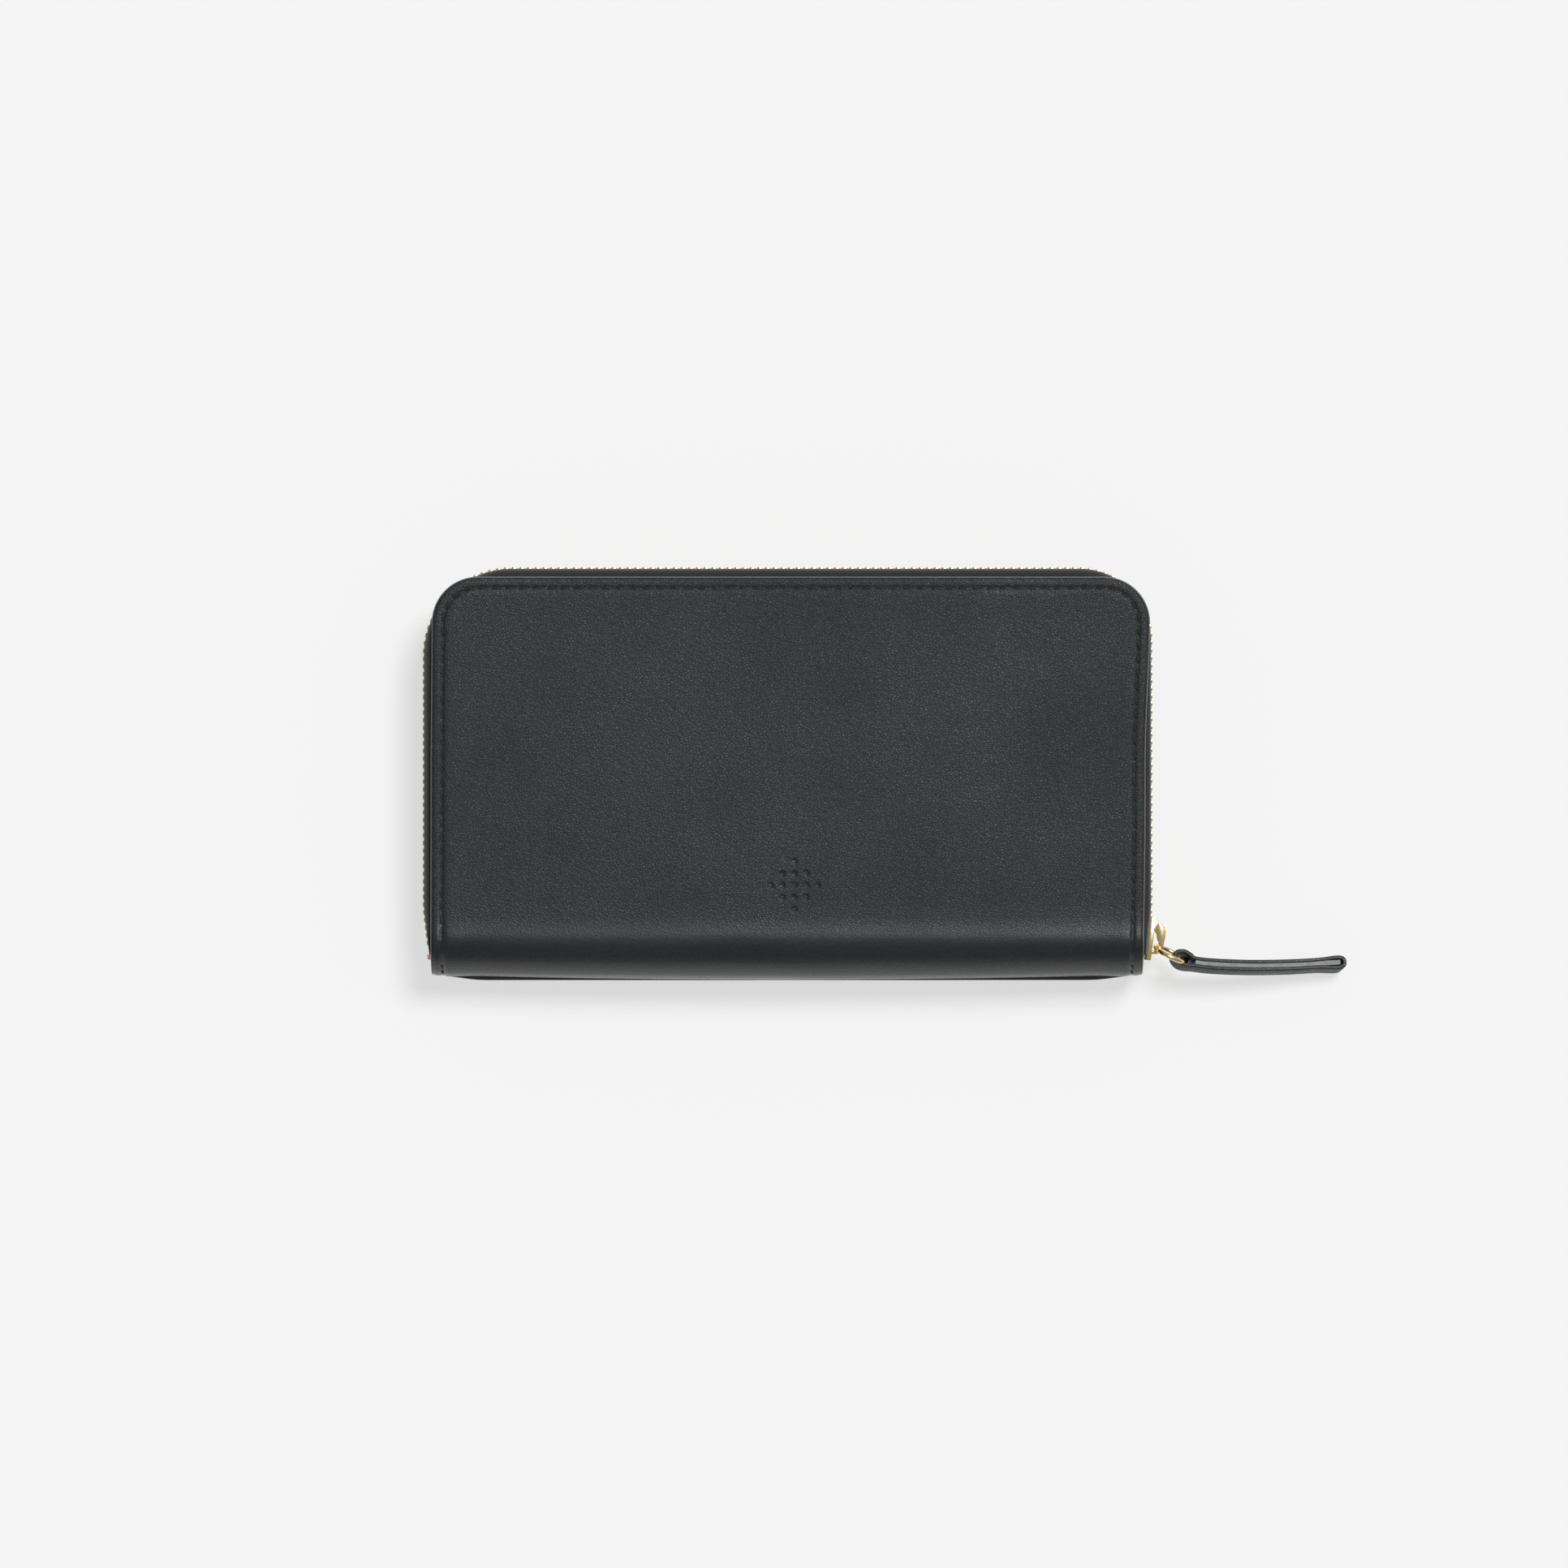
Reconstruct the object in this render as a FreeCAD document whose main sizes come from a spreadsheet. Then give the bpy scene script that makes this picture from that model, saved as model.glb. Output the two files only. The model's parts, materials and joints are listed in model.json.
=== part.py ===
import FreeCAD
import Part
import Sketcher
import math
import os

# A zip around wallet lying closed on its back cover. X runs along the spine, +Y points from the
# spine to the free edge, +Z up. The origin is the middle of the back cover's rest face.

Vector = FreeCAD.Vector
Rotation = FreeCAD.Rotation
Placement = FreeCAD.Placement

SIZES = (
    ("wallet_width", 186.4),
    ("wallet_depth", 104.6),
    ("wallet_thickness", 24.0),
    ("panel_corner", 12.0),
    ("cover_leather", 1.4),
    ("board_thickness", 0.7),
    ("board_inset", 7.0),
    ("board_corner", 11.0),
    ("lining_thickness", 0.6),
    ("lining_inset", 2.2),
    ("lining_corner", 20.0),
    ("fold_place", 30.0),
    ("fold_gap", 0.3),
    ("seam_inset", 2.8),
    ("seam_groove_width", 0.7),
    ("seam_groove_depth", 0.4),
    ("stitch_pitch", 3.56),
    ("stitch_length", 2.3),
    ("thread_width", 0.55),
    ("tape_thickness", 0.7),
    ("tape_flange", 6.0),
    ("chain_left_overhang", 1.6),
    ("chain_right_inset", 0.1),
    ("chain_far_overhang", 1.6),
    ("chain_left_corner", 22.0),
    ("chain_right_corner", 18.0),
    ("chain_end_turn", 7.0),
    ("chain_end_bend", 40.0),
    ("chain_end_lead", 9.0),
    ("chain_bend_from_spine", 20.3),
    ("tooth_pitch", 2.0),
    ("tooth_length", 1.1),
    ("tooth_reach", 1.6),
    ("tooth_thickness", 2.2),
    ("chain_slit", 0.6),
    ("slider_length", 11.4),
    ("slider_wide_end", 7.6),
    ("slider_tail", 6.2),
    ("slider_plate", 0.8),
    ("slider_wall", 0.65),
    ("slider_clearance", 0.25),
    ("slider_web", 0.3),
    ("slider_from_chain_end", 4.3),
    ("hook_width", 1.8),
    ("hook_thickness", 0.9),
    ("hook_height", 3.4),
    ("hook_tip_gap", 0.8),
    ("ring_radius", 4.4),
    ("ring_wire", 0.65),
    ("ring_heading", -26.0),
    ("strap_width", 5.6),
    ("strap_ply", 1.3),
    ("strap_seam", 0.5),
    ("strap_droop", 11.0),
    ("eye_length", 4.0),
    ("eye_width", 2.4),
    ("card_panel_width", 168.0),
    ("card_panel_depth", 78.0),
    ("card_panel_corner", 8.0),
    ("card_panel_from_spine", 16.3),
    ("card_leather", 0.5),
    ("pocket_step", 8.0),
    ("coin_pocket_width", 165.2),
    ("coin_pocket_depth", 77.0),
    ("coin_pocket_from_spine", 10.6),
    ("coin_pocket_thickness", 5.6),
    ("coin_wall", 0.6),
    ("coin_zip_height", 4.2),
    ("coin_zip_end", 6.0),
    ("coin_slit", 0.4),
    ("coin_tooth_height", 2.0),
    ("coin_slider_length", 8.0),
    ("coin_slider_start", 12.0),
    ("coin_pull_length", 10.5),
    ("gusset_leather", 0.6),
    ("gusset_length", 44.0),
    ("hem_thickness", 0.8),
    ("end_tab_width", 9.0),
    ("end_tab_height", 8.0),
)

SPINE_CENTRE = "(Sizes.wallet_thickness - Sizes.wallet_depth) / 2"
SPINE_BACK = "(Sizes.wallet_depth - Sizes.wallet_thickness) / 2"
FREE_EDGE = "Sizes.wallet_depth / 2"
MIDDLE = "Sizes.wallet_thickness / 2"
LINING_BASE = "(Sizes.cover_leather + max(Sizes.board_thickness; Sizes.tape_thickness))"
LINING_TOP = LINING_BASE + " + Sizes.lining_thickness"
CYLINDER_ALONG_X = Rotation(Vector(1, 1, 1), 120)

doc = FreeCAD.newDocument("ZipAroundWallet")


def make_sheet():
    """The spreadsheet of driving dimensions: a name beside each value."""
    sheet = doc.addObject("Spreadsheet::Sheet", "Sizes")
    for row, (name, value) in enumerate(SIZES, start=1):
        sheet.set("A%d" % row, name)
        sheet.set("B%d" % row, str(value))
        sheet.setAlias("B%d" % row, name)
    doc.recompute()
    return sheet


sizes = make_sheet()


def size(name):
    """A driving dimension as a plain number."""
    return float(getattr(sizes, name))


# Places that several pieces share, worked out from the driving dimensions.
half_width = size("wallet_width") / 2
half_depth = size("wallet_depth") / 2
thickness = size("wallet_thickness")
middle = thickness / 2
spine_y = middle - half_depth
tape_base = size("cover_leather")
lining_base = tape_base + max(size("board_thickness"), size("tape_thickness"))
lining_top = lining_base + size("lining_thickness")
chain_height = middle - size("chain_slit") / 2 - size("tooth_reach")
spine_inside = middle - lining_top
pocket_low = middle - size("coin_pocket_thickness") / 2
pocket_near = -half_depth + size("coin_pocket_from_spine")
pocket_far = pocket_near + size("coin_pocket_depth")
coin_chain_half = size("coin_pocket_thickness") / 2 - size("coin_wall")


def bind(thing, **texts):
    """Bind properties to sheet expressions; a double underscore stands for a dot."""
    for name, text in texts.items():
        thing.setExpression(name.replace("__", "."), text)
    return thing


def feature(label, shape, placement=None):
    """A Part::Feature for a shape that no primitive or sketch gives."""
    piece = doc.addObject("Part::Feature", label)
    piece.Shape = shape
    piece.Placement = placement or Placement()
    return piece


def box(label, length, width, height, x, y, z):
    """A box whose three sizes and corner are sheet expressions."""
    piece = doc.addObject("Part::Box", label)
    bind(piece, Length=length, Width=width, Height=height)
    return bind(piece, Placement__Base__x=x, Placement__Base__y=y, Placement__Base__z=z)


def boolean(kind, label, base, tool):
    """A Part::Cut, Part::Fuse or Part::Common of two objects."""
    piece = doc.addObject("Part::" + kind, label)
    piece.Base = base
    piece.Tool = tool
    return piece


def origin_plane(body, role):
    """One of a body's own origin planes."""
    return next(item for item in body.Origin.OriginFeatures if item.Role == role)


def new_sketch(body, label, role):
    """A sketch on one of the body's origin planes."""
    sketch = body.newObject("Sketcher::SketchObject", label)
    sketch.AttachmentSupport = [(origin_plane(body, role), "")]
    sketch.MapMode = "FlatFace"
    return sketch


def constrain(sketch, name, text, *arguments):
    """Add a named dimension and bind it to the sheet."""
    index = sketch.addConstraint(Sketcher.Constraint(*arguments))
    sketch.renameConstraint(index, name)
    sketch.setExpression("Constraints." + name, text)


def pad(body, sketch, label, length, symmetric=False):
    """Pad a sketch by a sheet expression."""
    result = body.newObject("PartDesign::Pad", label)
    result.Profile = sketch
    if symmetric:
        result.SideType = "Symmetric"
    return bind(result, Length=length)


def pocket(body, sketch, label, length):
    """Cut a sketch away, half of the length to each side of its plane."""
    result = body.newObject("PartDesign::Pocket", label)
    result.Profile = sketch
    result.SideType = "Symmetric"
    return bind(result, Length=length)


def rounded_panel(label, half, near, far, corner, height, base):
    """A flat sheet with square corners towards the spine and rounded ones at the free edge."""
    body = doc.addObject("PartDesign::Body", label)
    sketch = new_sketch(body, label + "_outline", "XY_Plane")
    side, low, top, turn = 80.0, -35.0, 45.0, 8.0
    line = Part.LineSegment
    right = Part.Circle(Vector(side - turn, top - turn, 0), Vector(0, 0, 1), turn)
    left = Part.Circle(Vector(turn - side, top - turn, 0), Vector(0, 0, 1), turn)
    sketch.addGeometry([
        line(Vector(-side, low, 0), Vector(side, low, 0)),
        line(Vector(side, low, 0), Vector(side, top - turn, 0)),
        Part.ArcOfCircle(right, 0, math.pi / 2),
        line(Vector(side - turn, top, 0), Vector(turn - side, top, 0)),
        Part.ArcOfCircle(left, math.pi / 2, math.pi),
        line(Vector(-side, top - turn, 0), Vector(-side, low, 0)),
    ])
    for kind, *joined in (
        ("Coincident", 0, 2, 1, 1),
        ("Tangent", 1, 2, 2, 1),
        ("Tangent", 2, 2, 3, 1),
        ("Tangent", 3, 2, 4, 1),
        ("Tangent", 4, 2, 5, 1),
        ("Coincident", 5, 2, 0, 1),
        ("Symmetric", 0, 1, 0, 2, -2),
        ("Vertical", 1),
        ("Vertical", 5),
        ("Horizontal", 3),
        ("Equal", 2, 4),
    ):
        sketch.addConstraint(Sketcher.Constraint(kind, *joined))
    constrain(sketch, "half_width", half, "DistanceX", -1, 1, 0, 2, side)
    constrain(sketch, "near_edge", near, "DistanceY", 0, 2, -1, 1, -low)
    constrain(sketch, "far_edge", far, "DistanceY", -1, 1, 3, 1, top)
    constrain(sketch, "corner", corner, "Radius", 2, turn)
    pad(body, sketch, label + "_pad", height)
    return bind(body, Placement__Base__z=base)


def ring_sector(label, outer, inner, start, angle, half):
    """Part of a tube along X about the spine's centre, from a start angle counted from +Y."""
    turn = Rotation(Vector(1, 0, 0), start).multiply(CYLINDER_ALONG_X)
    tubes = []
    for name, radius in (("outer", outer), ("inner", inner)):
        tube = doc.addObject("Part::Cylinder", label + "_" + name)
        tube.Placement = Placement(Vector(), turn)
        bind(tube, Radius=radius, Height="2 * (%s)" % half, Angle=angle)
        bind(tube, Placement__Base__x="-(%s)" % half, Placement__Base__y=SPINE_CENTRE, Placement__Base__z=MIDDLE)
        tubes.append(tube)
    return boolean("Cut", label, tubes[0], tubes[1])


def back_sheet(label, inset, corner, height, base):
    """A panel's sheet with the first stretch of the spine's bend, up to the fold."""
    half = "Sizes.wallet_width / 2 - " + inset
    plate = rounded_panel(
        label + "_plate", half, SPINE_BACK, FREE_EDGE + " - " + inset, corner, height, base
    )
    outer = "%s - (%s)" % (MIDDLE, base)
    bend = ring_sector(
        label + "_bend", outer, "%s - %s" % (outer, height), 270 - size("fold_place"),
        "Sizes.fold_place", half
    )
    return boolean("Fuse", label, plate, bend)


def spine_sheet(label, inset, height, base):
    """A layer of the spine between its two folds."""
    gap = math.degrees(size("fold_gap") / middle)
    start = 90 + size("fold_place") + gap
    outer = "%s - (%s)" % (MIDDLE, base)
    half = "Sizes.wallet_width / 2 - " + inset
    angle = "180 - 2 * Sizes.fold_place - 360 * Sizes.fold_gap / (pi * Sizes.wallet_thickness) * 2"
    return ring_sector(label, outer, "%s - %s" % (outer, height), start, angle, half)


class EdgePath:
    """A route that runs up the left, along the free edge and down the right, turning right."""

    def __init__(self, start, heading, steps):
        self.start = start
        self.heading = heading
        self.steps = steps

    @staticmethod
    def along(heading):
        """Unit vector of a heading in degrees from +X."""
        return Vector(math.cos(math.radians(heading)), math.sin(math.radians(heading)), 0)

    def edges(self, inset):
        """Lines and arcs of the route moved inwards."""
        found = []
        heading = self.heading
        point = self.start + self.along(heading - 90) * inset
        for length, radius, turn in self.steps:
            ahead = point + self.along(heading) * length
            found.append(Part.LineSegment(point, ahead).toShape())
            point = ahead
            if turn:
                centre = point + self.along(heading - 90) * (radius - inset)
                half = centre + self.along(heading + 90 - turn / 2) * (radius - inset)
                end = centre + self.along(heading + 90 - turn) * (radius - inset)
                found.append(Part.Arc(point, half, end).toShape())
                point = end
                heading -= turn
        return found

    def length(self):
        """Length of the route itself."""
        return sum(run + math.radians(turn) * radius for run, radius, turn in self.steps)

    def place(self, distance):
        """Point and heading at a distance along the route."""
        heading = self.heading
        point = self.start
        for length, radius, turn in self.steps:
            if distance <= length:
                return point + self.along(heading) * distance, heading
            distance -= length
            point = point + self.along(heading) * length
            arc = math.radians(turn) * radius
            done = min(1.0, distance / arc) * turn if arc else 0.0
            centre = point + self.along(heading - 90) * radius
            end = centre + self.along(heading + 90 - done) * radius
            if distance <= arc:
                return end, heading - done
            distance -= arc
            point = end
            heading -= turn
        return point, heading

    def band(self, outer, inner, low, high):
        """The strip between two insets, as a solid between two heights."""
        outside = self.edges(outer)
        inside = self.edges(inner)
        start = Part.LineSegment(inside[0].Vertexes[0].Point, outside[0].Vertexes[0].Point)
        end = Part.LineSegment(outside[-1].Vertexes[-1].Point, inside[-1].Vertexes[-1].Point)
        wire = Part.Wire(Part.__sortEdges__(outside + inside + [start.toShape(), end.toShape()]))
        face = Part.Face(wire)
        face.translate(Vector(0, 0, low))
        return face.extrude(Vector(0, 0, high - low))


def chain_path():
    """The middle of the main zip's chain, with its two ends turned in at the spine."""
    turn = size("chain_end_turn")
    bend = size("chain_end_bend")
    lead = size("chain_end_lead")
    left = -half_width - size("chain_left_overhang")
    right = half_width - size("chain_right_inset")
    far = half_depth + size("chain_far_overhang")
    near = -half_depth + size("chain_bend_from_spine")
    left_corner = size("chain_left_corner")
    right_corner = size("chain_right_corner")
    heading = 90 + turn
    sideways = bend * (1 - math.cos(math.radians(turn)))
    start = Vector(left + sideways, near - bend * math.sin(math.radians(turn)), 0)
    start -= EdgePath.along(heading) * lead
    return EdgePath(start, heading, (
        (lead, bend, turn),
        (far - left_corner - near, left_corner, 90.0),
        (right - right_corner - (left + left_corner), right_corner, 90.0),
        (far - right_corner - near, bend, turn),
        (lead, 0.0, 0.0),
    ))


def seam_path():
    """The line of stitches, parallel to the cover's edge."""
    inset = size("seam_inset")
    corner = size("panel_corner") - inset
    side = half_width - inset
    far = half_depth - inset
    return EdgePath(Vector(-side, spine_y, 0), 90.0, (
        (far - corner - spine_y, corner, 90.0),
        (2 * (side - corner), corner, 90.0),
        (far - corner - spine_y, 0.0, 0.0),
    ))


def row_of_blocks(path, first, pitch, length, width, low, high):
    """Equal blocks set along a route: teeth or stitches."""
    blocks = []
    count = int((path.length() - 2 * first) / pitch) + 1
    for index in range(count):
        point, heading = path.place(first + index * pitch)
        block = Part.makeBox(length, width, high - low, Vector(-length / 2, -width / 2, low))
        block.Placement = Placement(point, Rotation(Vector(0, 0, 1), heading))
        blocks.append(block)
    return Part.makeCompound(blocks)


def inside_spine(radius):
    """The space inside the covers: everything before the spine's bend, and a round within it."""
    length = 2 * half_width + 40
    ahead = Part.makeBox(length, 2 * half_depth, thickness, Vector(-length / 2, spine_y, 0))
    within = Part.makeCylinder(radius, length, Vector(-length / 2, spine_y, middle), Vector(1, 0, 0))
    return ahead.fuse(within)


def make_covers():
    """Back cover, spine, board, lining and interlining."""
    shell = back_sheet("cover_shell", "0", "Sizes.panel_corner", "Sizes.cover_leather", "0")
    groove = boolean("Cut", "seam_groove", *(
        rounded_panel(
            label, "Sizes.wallet_width / 2 - (%s)" % inset, SPINE_BACK, FREE_EDGE + " - (%s)" % inset,
            "Sizes.panel_corner - (%s)" % inset, "Sizes.seam_groove_depth", "0"
        )
        for label, inset in (
            ("groove_outside", "Sizes.seam_inset - Sizes.seam_groove_width / 2"),
            ("groove_inside", "Sizes.seam_inset + Sizes.seam_groove_width / 2"),
        )
    ))
    boolean("Cut", "back_cover", shell, groove)
    rounded_panel(
        "back_stiffener", "Sizes.wallet_width / 2 - Sizes.board_inset", SPINE_BACK,
        FREE_EDGE + " - Sizes.board_inset", "Sizes.board_corner", "Sizes.board_thickness",
        "Sizes.cover_leather"
    )
    back_sheet(
        "back_lining", "Sizes.lining_inset", "Sizes.lining_corner", "Sizes.lining_thickness", LINING_BASE
    )
    spine_sheet("spine_cover", "0", "Sizes.cover_leather", "0")
    spine_sheet("spine_interlining", "Sizes.board_inset", "Sizes.board_thickness", "Sizes.cover_leather")
    spine_sheet("spine_lining", "Sizes.lining_inset", "Sizes.lining_thickness", LINING_BASE)


def make_stitches():
    """Separate stitches that lie in the back cover's groove."""
    depth = size("seam_groove_depth")
    feature("back_seam_stitching", row_of_blocks(
        seam_path(), size("stitch_pitch") / 2, size("stitch_pitch"), size("stitch_length"),
        size("thread_width"), depth / 4, depth
    ))


def make_main_zip():
    """Back tape with its sewn flange, back row of teeth, bottom stop and the two end tabs."""
    path = chain_path()
    thin = size("tape_thickness")
    clearance = size("slider_clearance")
    wall = path.band(-thin / 2, thin / 2, tape_base, chain_height)
    flange = path.band(thin / 2, size("tape_flange"), tape_base, tape_base + thin)
    tape = wall.fuse(flange).removeSplitter().common(inside_spine(spine_inside - clearance))
    feature("back_zip_tape", tape)
    feature("back_zip_teeth", row_of_blocks(
        path, size("tooth_pitch"), size("tooth_pitch"), size("tooth_length"), size("tooth_thickness"),
        chain_height, chain_height + size("tooth_reach")
    ))
    wide = size("tooth_thickness") + 0.6
    tall = size("tooth_reach") + size("chain_slit") / 2
    stop = Part.makeBox(1.4, wide, 2 * tall, Vector(-1.4, -wide / 2, middle - tall))
    feature("zip_bottom_stop", stop, Placement(path.start, Rotation(Vector(0, 0, 1), path.heading)))
    clip = doc.addObject("Part::Cylinder", "spine_hollow")
    clip.Placement = Placement(Vector(), CYLINDER_ALONG_X)
    bind(clip, Radius="%s - (%s)" % (MIDDLE, LINING_TOP), Height="Sizes.wallet_width")
    bind(clip, Placement__Base__x="-Sizes.wallet_width / 2", Placement__Base__y=SPINE_CENTRE)
    bind(clip, Placement__Base__z=MIDDLE)
    tab_inset = "(Sizes.lining_inset + 3)"
    for side, corner in (
        ("left", "%s - Sizes.wallet_width / 2" % tab_inset),
        ("right", "Sizes.wallet_width / 2 - %s - Sizes.end_tab_width" % tab_inset),
    ):
        block = box(
            side + "_tab_block", "Sizes.end_tab_width", "8", "Sizes.end_tab_height", corner,
            "-Sizes.wallet_depth / 2", "(Sizes.wallet_thickness - Sizes.end_tab_height) / 2"
        )
        boolean("Common", side + "_zip_end_tab", block, clip)


def polygon(sketch, corners):
    """A closed outline through corners given as signed pairs of sheet expressions."""
    count = len(corners)
    rough = [
        Vector((10 + index) * (-1 if x[0] == "-" else 1), (10 + index) * (-1 if y[0] == "-" else 1), 0)
        for index, (x, y) in enumerate(corners)
    ]
    for index in range(count):
        sketch.addGeometry(Part.LineSegment(rough[index], rough[(index + 1) % count]))
    for index in range(count):
        sketch.addConstraint(Sketcher.Constraint("Coincident", index, 2, (index + 1) % count, 1))
    for index, (x, y) in enumerate(corners):
        for name, kind, text in (("x", "DistanceX", x), ("y", "DistanceY", y)):
            ends = (index, 1, -1, 1) if text[0] == "-" else (-1, 1, index, 1)
            constrain(sketch, "%s%d" % (name, index), text[1:], kind, *ends, 10.0)


def slider_outline(body, label, wide, tail, end):
    """A symmetrical taper on the YZ plane, from the wide end to the tail."""
    sketch = new_sketch(body, label, "YZ_Plane")
    polygon(sketch, (
        ("-" + end, "-(%s) / 2" % wide),
        ("+" + end, "-(%s) / 2" % tail),
        ("+" + end, "+(%s) / 2" % tail),
        ("-" + end, "+(%s) / 2" % wide),
    ))
    return sketch


def slider_place():
    """Where the slider's centre sits on the chain at rest, facing outwards."""
    path = chain_path()
    point, heading = path.place(path.length() - size("slider_from_chain_end"))
    turn = Rotation(Vector(0, 0, 1), heading + 90)
    return Placement(point + Vector(0, 0, middle), turn)


def make_slider():
    """Slider body: two plates, side walls with a slot for each tape, and a thin web."""
    body = doc.addObject("PartDesign::Body", "slider_body")
    end = "Sizes.slider_length / 2"
    channel = "Sizes.tooth_thickness + 2 * Sizes.slider_clearance"
    whole = "%s + 2 * Sizes.slider_plate" % channel
    wall = "2 * Sizes.slider_wall"
    outline = slider_outline(body, "slider_outline", "Sizes.slider_wide_end", "Sizes.slider_tail", end)
    pad(body, outline, "slider_block", whole, symmetric=True)
    inner = slider_outline(
        body, "slider_channel_outline", "Sizes.slider_wide_end - " + wall, "Sizes.slider_tail - " + wall,
        "(Sizes.slider_length + 0.02) / 2"
    )
    pocket(body, inner, "slider_channel", channel)
    slot = slider_outline(
        body, "slider_slot_outline", "Sizes.slider_wide_end + 1", "Sizes.slider_wide_end + 1",
        "(Sizes.slider_length + 0.02) / 2"
    )
    pocket(body, slot, "slider_tape_slot", "Sizes.tape_thickness + 2 * Sizes.slider_clearance")
    web = new_sketch(body, "slider_web_outline", "YZ_Plane")
    polygon(web, (
        ("-Sizes.slider_length * 0.45", "-Sizes.slider_web / 2"),
        ("-Sizes.slider_length * 0.15", "-Sizes.slider_web / 2"),
        ("-Sizes.slider_length * 0.15", "+Sizes.slider_web / 2"),
        ("-Sizes.slider_length * 0.45", "+Sizes.slider_web / 2"),
    ))
    pad(body, web, "slider_web", "%s + Sizes.slider_plate" % channel, symmetric=True)
    body.Placement = slider_place()


def slider_face():
    """Height of the slider's outer face above its own centre."""
    return size("tooth_thickness") / 2 + size("slider_clearance") + size("slider_plate")


def make_hook():
    """Open hook that rises from the slider near its wide end and bends back to a free tip."""
    face = slider_face()
    root = -0.42 * size("slider_length")
    tip = 0.34 * size("slider_length")
    middle_v = (root + tip) / 2
    top = face + size("hook_height")
    strip = size("hook_thickness")
    gap = size("hook_tip_gap")
    outer = Part.Arc(Vector(face, root - strip, 0), Vector(top, middle_v, 0), Vector(face + gap, tip, 0))
    inner = Part.Arc(
        Vector(face + gap, tip - strip, 0), Vector(top - strip, middle_v, 0), Vector(face, root, 0)
    )
    edges = [
        outer.toShape(),
        Part.LineSegment(Vector(face + gap, tip, 0), Vector(face + gap, tip - strip, 0)).toShape(),
        inner.toShape(),
        Part.LineSegment(Vector(face, root, 0), Vector(face, root - strip, 0)).toShape(),
    ]
    outline = Part.Face(Part.Wire(edges))
    outline.translate(Vector(0, 0, -size("hook_width") / 2))
    feature("slider_hook", outline.extrude(Vector(0, 0, size("hook_width"))), slider_place())


def ring_foot():
    """The point inside the hook that the ring's wire passes through."""
    out = slider_face() + size("ring_wire") + 0.3
    return slider_place().multVec(Vector(out, -0.18 * size("slider_length"), 0))


def ring_end(share):
    """A point across the ring from its foot: 1 is its middle and 2 its far wire."""
    return ring_foot() + EdgePath.along(size("ring_heading")) * size("ring_radius") * share


def make_ring():
    """Round wire ring that stands on edge in the hook."""
    ring = doc.addObject("Part::Torus", "pull_ring")
    bind(ring, Radius1="Sizes.ring_radius", Radius2="Sizes.ring_wire")
    axis = EdgePath.along(size("ring_heading") + 90)
    ring.Placement = Placement(ring_end(1), Rotation(Vector(0, 0, 1), axis))


def strap_line():
    """Middle line of the sewn part of the strap, from the eye's centre outwards."""
    return (
        Vector(2.4, -0.6, 0),
        Vector(8.0, -2.0, 0),
        Vector(17.6, -2.6, 0),
        Vector(28.0, -2.2, 0),
        Vector(36.0, -1.2, 0),
        Vector(41.3, -0.3, 0),
    )


def strap_edge(line, offset):
    """One long face of the strap as a smooth curve beside its middle line."""
    points = []
    for index, point in enumerate(line):
        before = line[max(0, index - 1)]
        after = line[min(len(line) - 1, index + 1)]
        ahead = (after - before).normalize()
        points.append(point + Vector(-ahead.y, ahead.x, 0) * offset)
    return points


def strap_placement():
    """The strap hangs from the ring's far wire and droops towards its end."""
    heading = size("ring_heading")
    eye = ring_end(2) + EdgePath.along(heading) * -(0.5 * size("eye_length") - size("ring_wire") - 0.35)
    droop = Rotation(Vector(0, 1, 0), size("strap_droop"))
    return Placement(eye, droop)


def make_strap():
    """Strip of leather folded round the ring and sewn to itself, standing on edge."""
    ply = size("strap_ply")
    half = ply + size("strap_seam") / 2
    wide = size("strap_width")
    lowest = Vector(0, 0, -wide / 2)
    line = strap_line()
    upper = strap_edge(line, half)
    lower = strap_edge(line, -half)
    edges = []
    for points in (upper, lower):
        curve = Part.BSplineCurve()
        curve.interpolate(points)
        edges.append(curve.toShape())
    tip = line[-1] + (line[-1] - line[-2]).normalize() * half
    edges.append(Part.Arc(upper[-1], tip, lower[-1]).toShape())
    edges.append(Part.LineSegment(upper[0], lower[0]).toShape())
    tail = Part.Face(Part.Wire(Part.__sortEdges__(edges)))
    tail.translate(lowest)
    sides = []
    for grow in (ply, 0.0):
        across = size("eye_width") / 2 + grow
        reach = (size("eye_length") - size("eye_width")) / 2
        rim = [
            Part.LineSegment(Vector(-reach, -across, 0), Vector(reach, -across, 0)).toShape(),
            Part.Arc(Vector(reach, -across, 0), Vector(reach + across, 0, 0), Vector(reach, across, 0)).toShape(),
            Part.LineSegment(Vector(reach, across, 0), Vector(-reach, across, 0)).toShape(),
            Part.Arc(Vector(-reach, across, 0), Vector(-reach - across, 0, 0), Vector(-reach, -across, 0)).toShape(),
        ]
        face = Part.Face(Part.Wire(rim))
        face.rotate(Vector(), Vector(0, 0, 1), size("ring_heading"))
        face.translate(lowest)
        sides.append(face.extrude(Vector(0, 0, wide)))
    strap = tail.extrude(Vector(0, 0, wide)).fuse(sides[0]).cut(sides[1]).removeSplitter()
    feature("pull_strap", strap, strap_placement())
    stitches = []
    for offset in (half + 0.1, -half - 0.1):
        for point in strap_edge(line, offset)[1:-1]:
            for height in (-wide / 3, wide / 3):
                stitches.append(Part.makeBox(1.6, 0.2, 0.4, point + Vector(-0.8, -0.1, height - 0.2)))
    thread = Part.makeCompound([stitch.cut(strap) for stitch in stitches])
    feature("pull_strap_stitching", thread, strap_placement())


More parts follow.
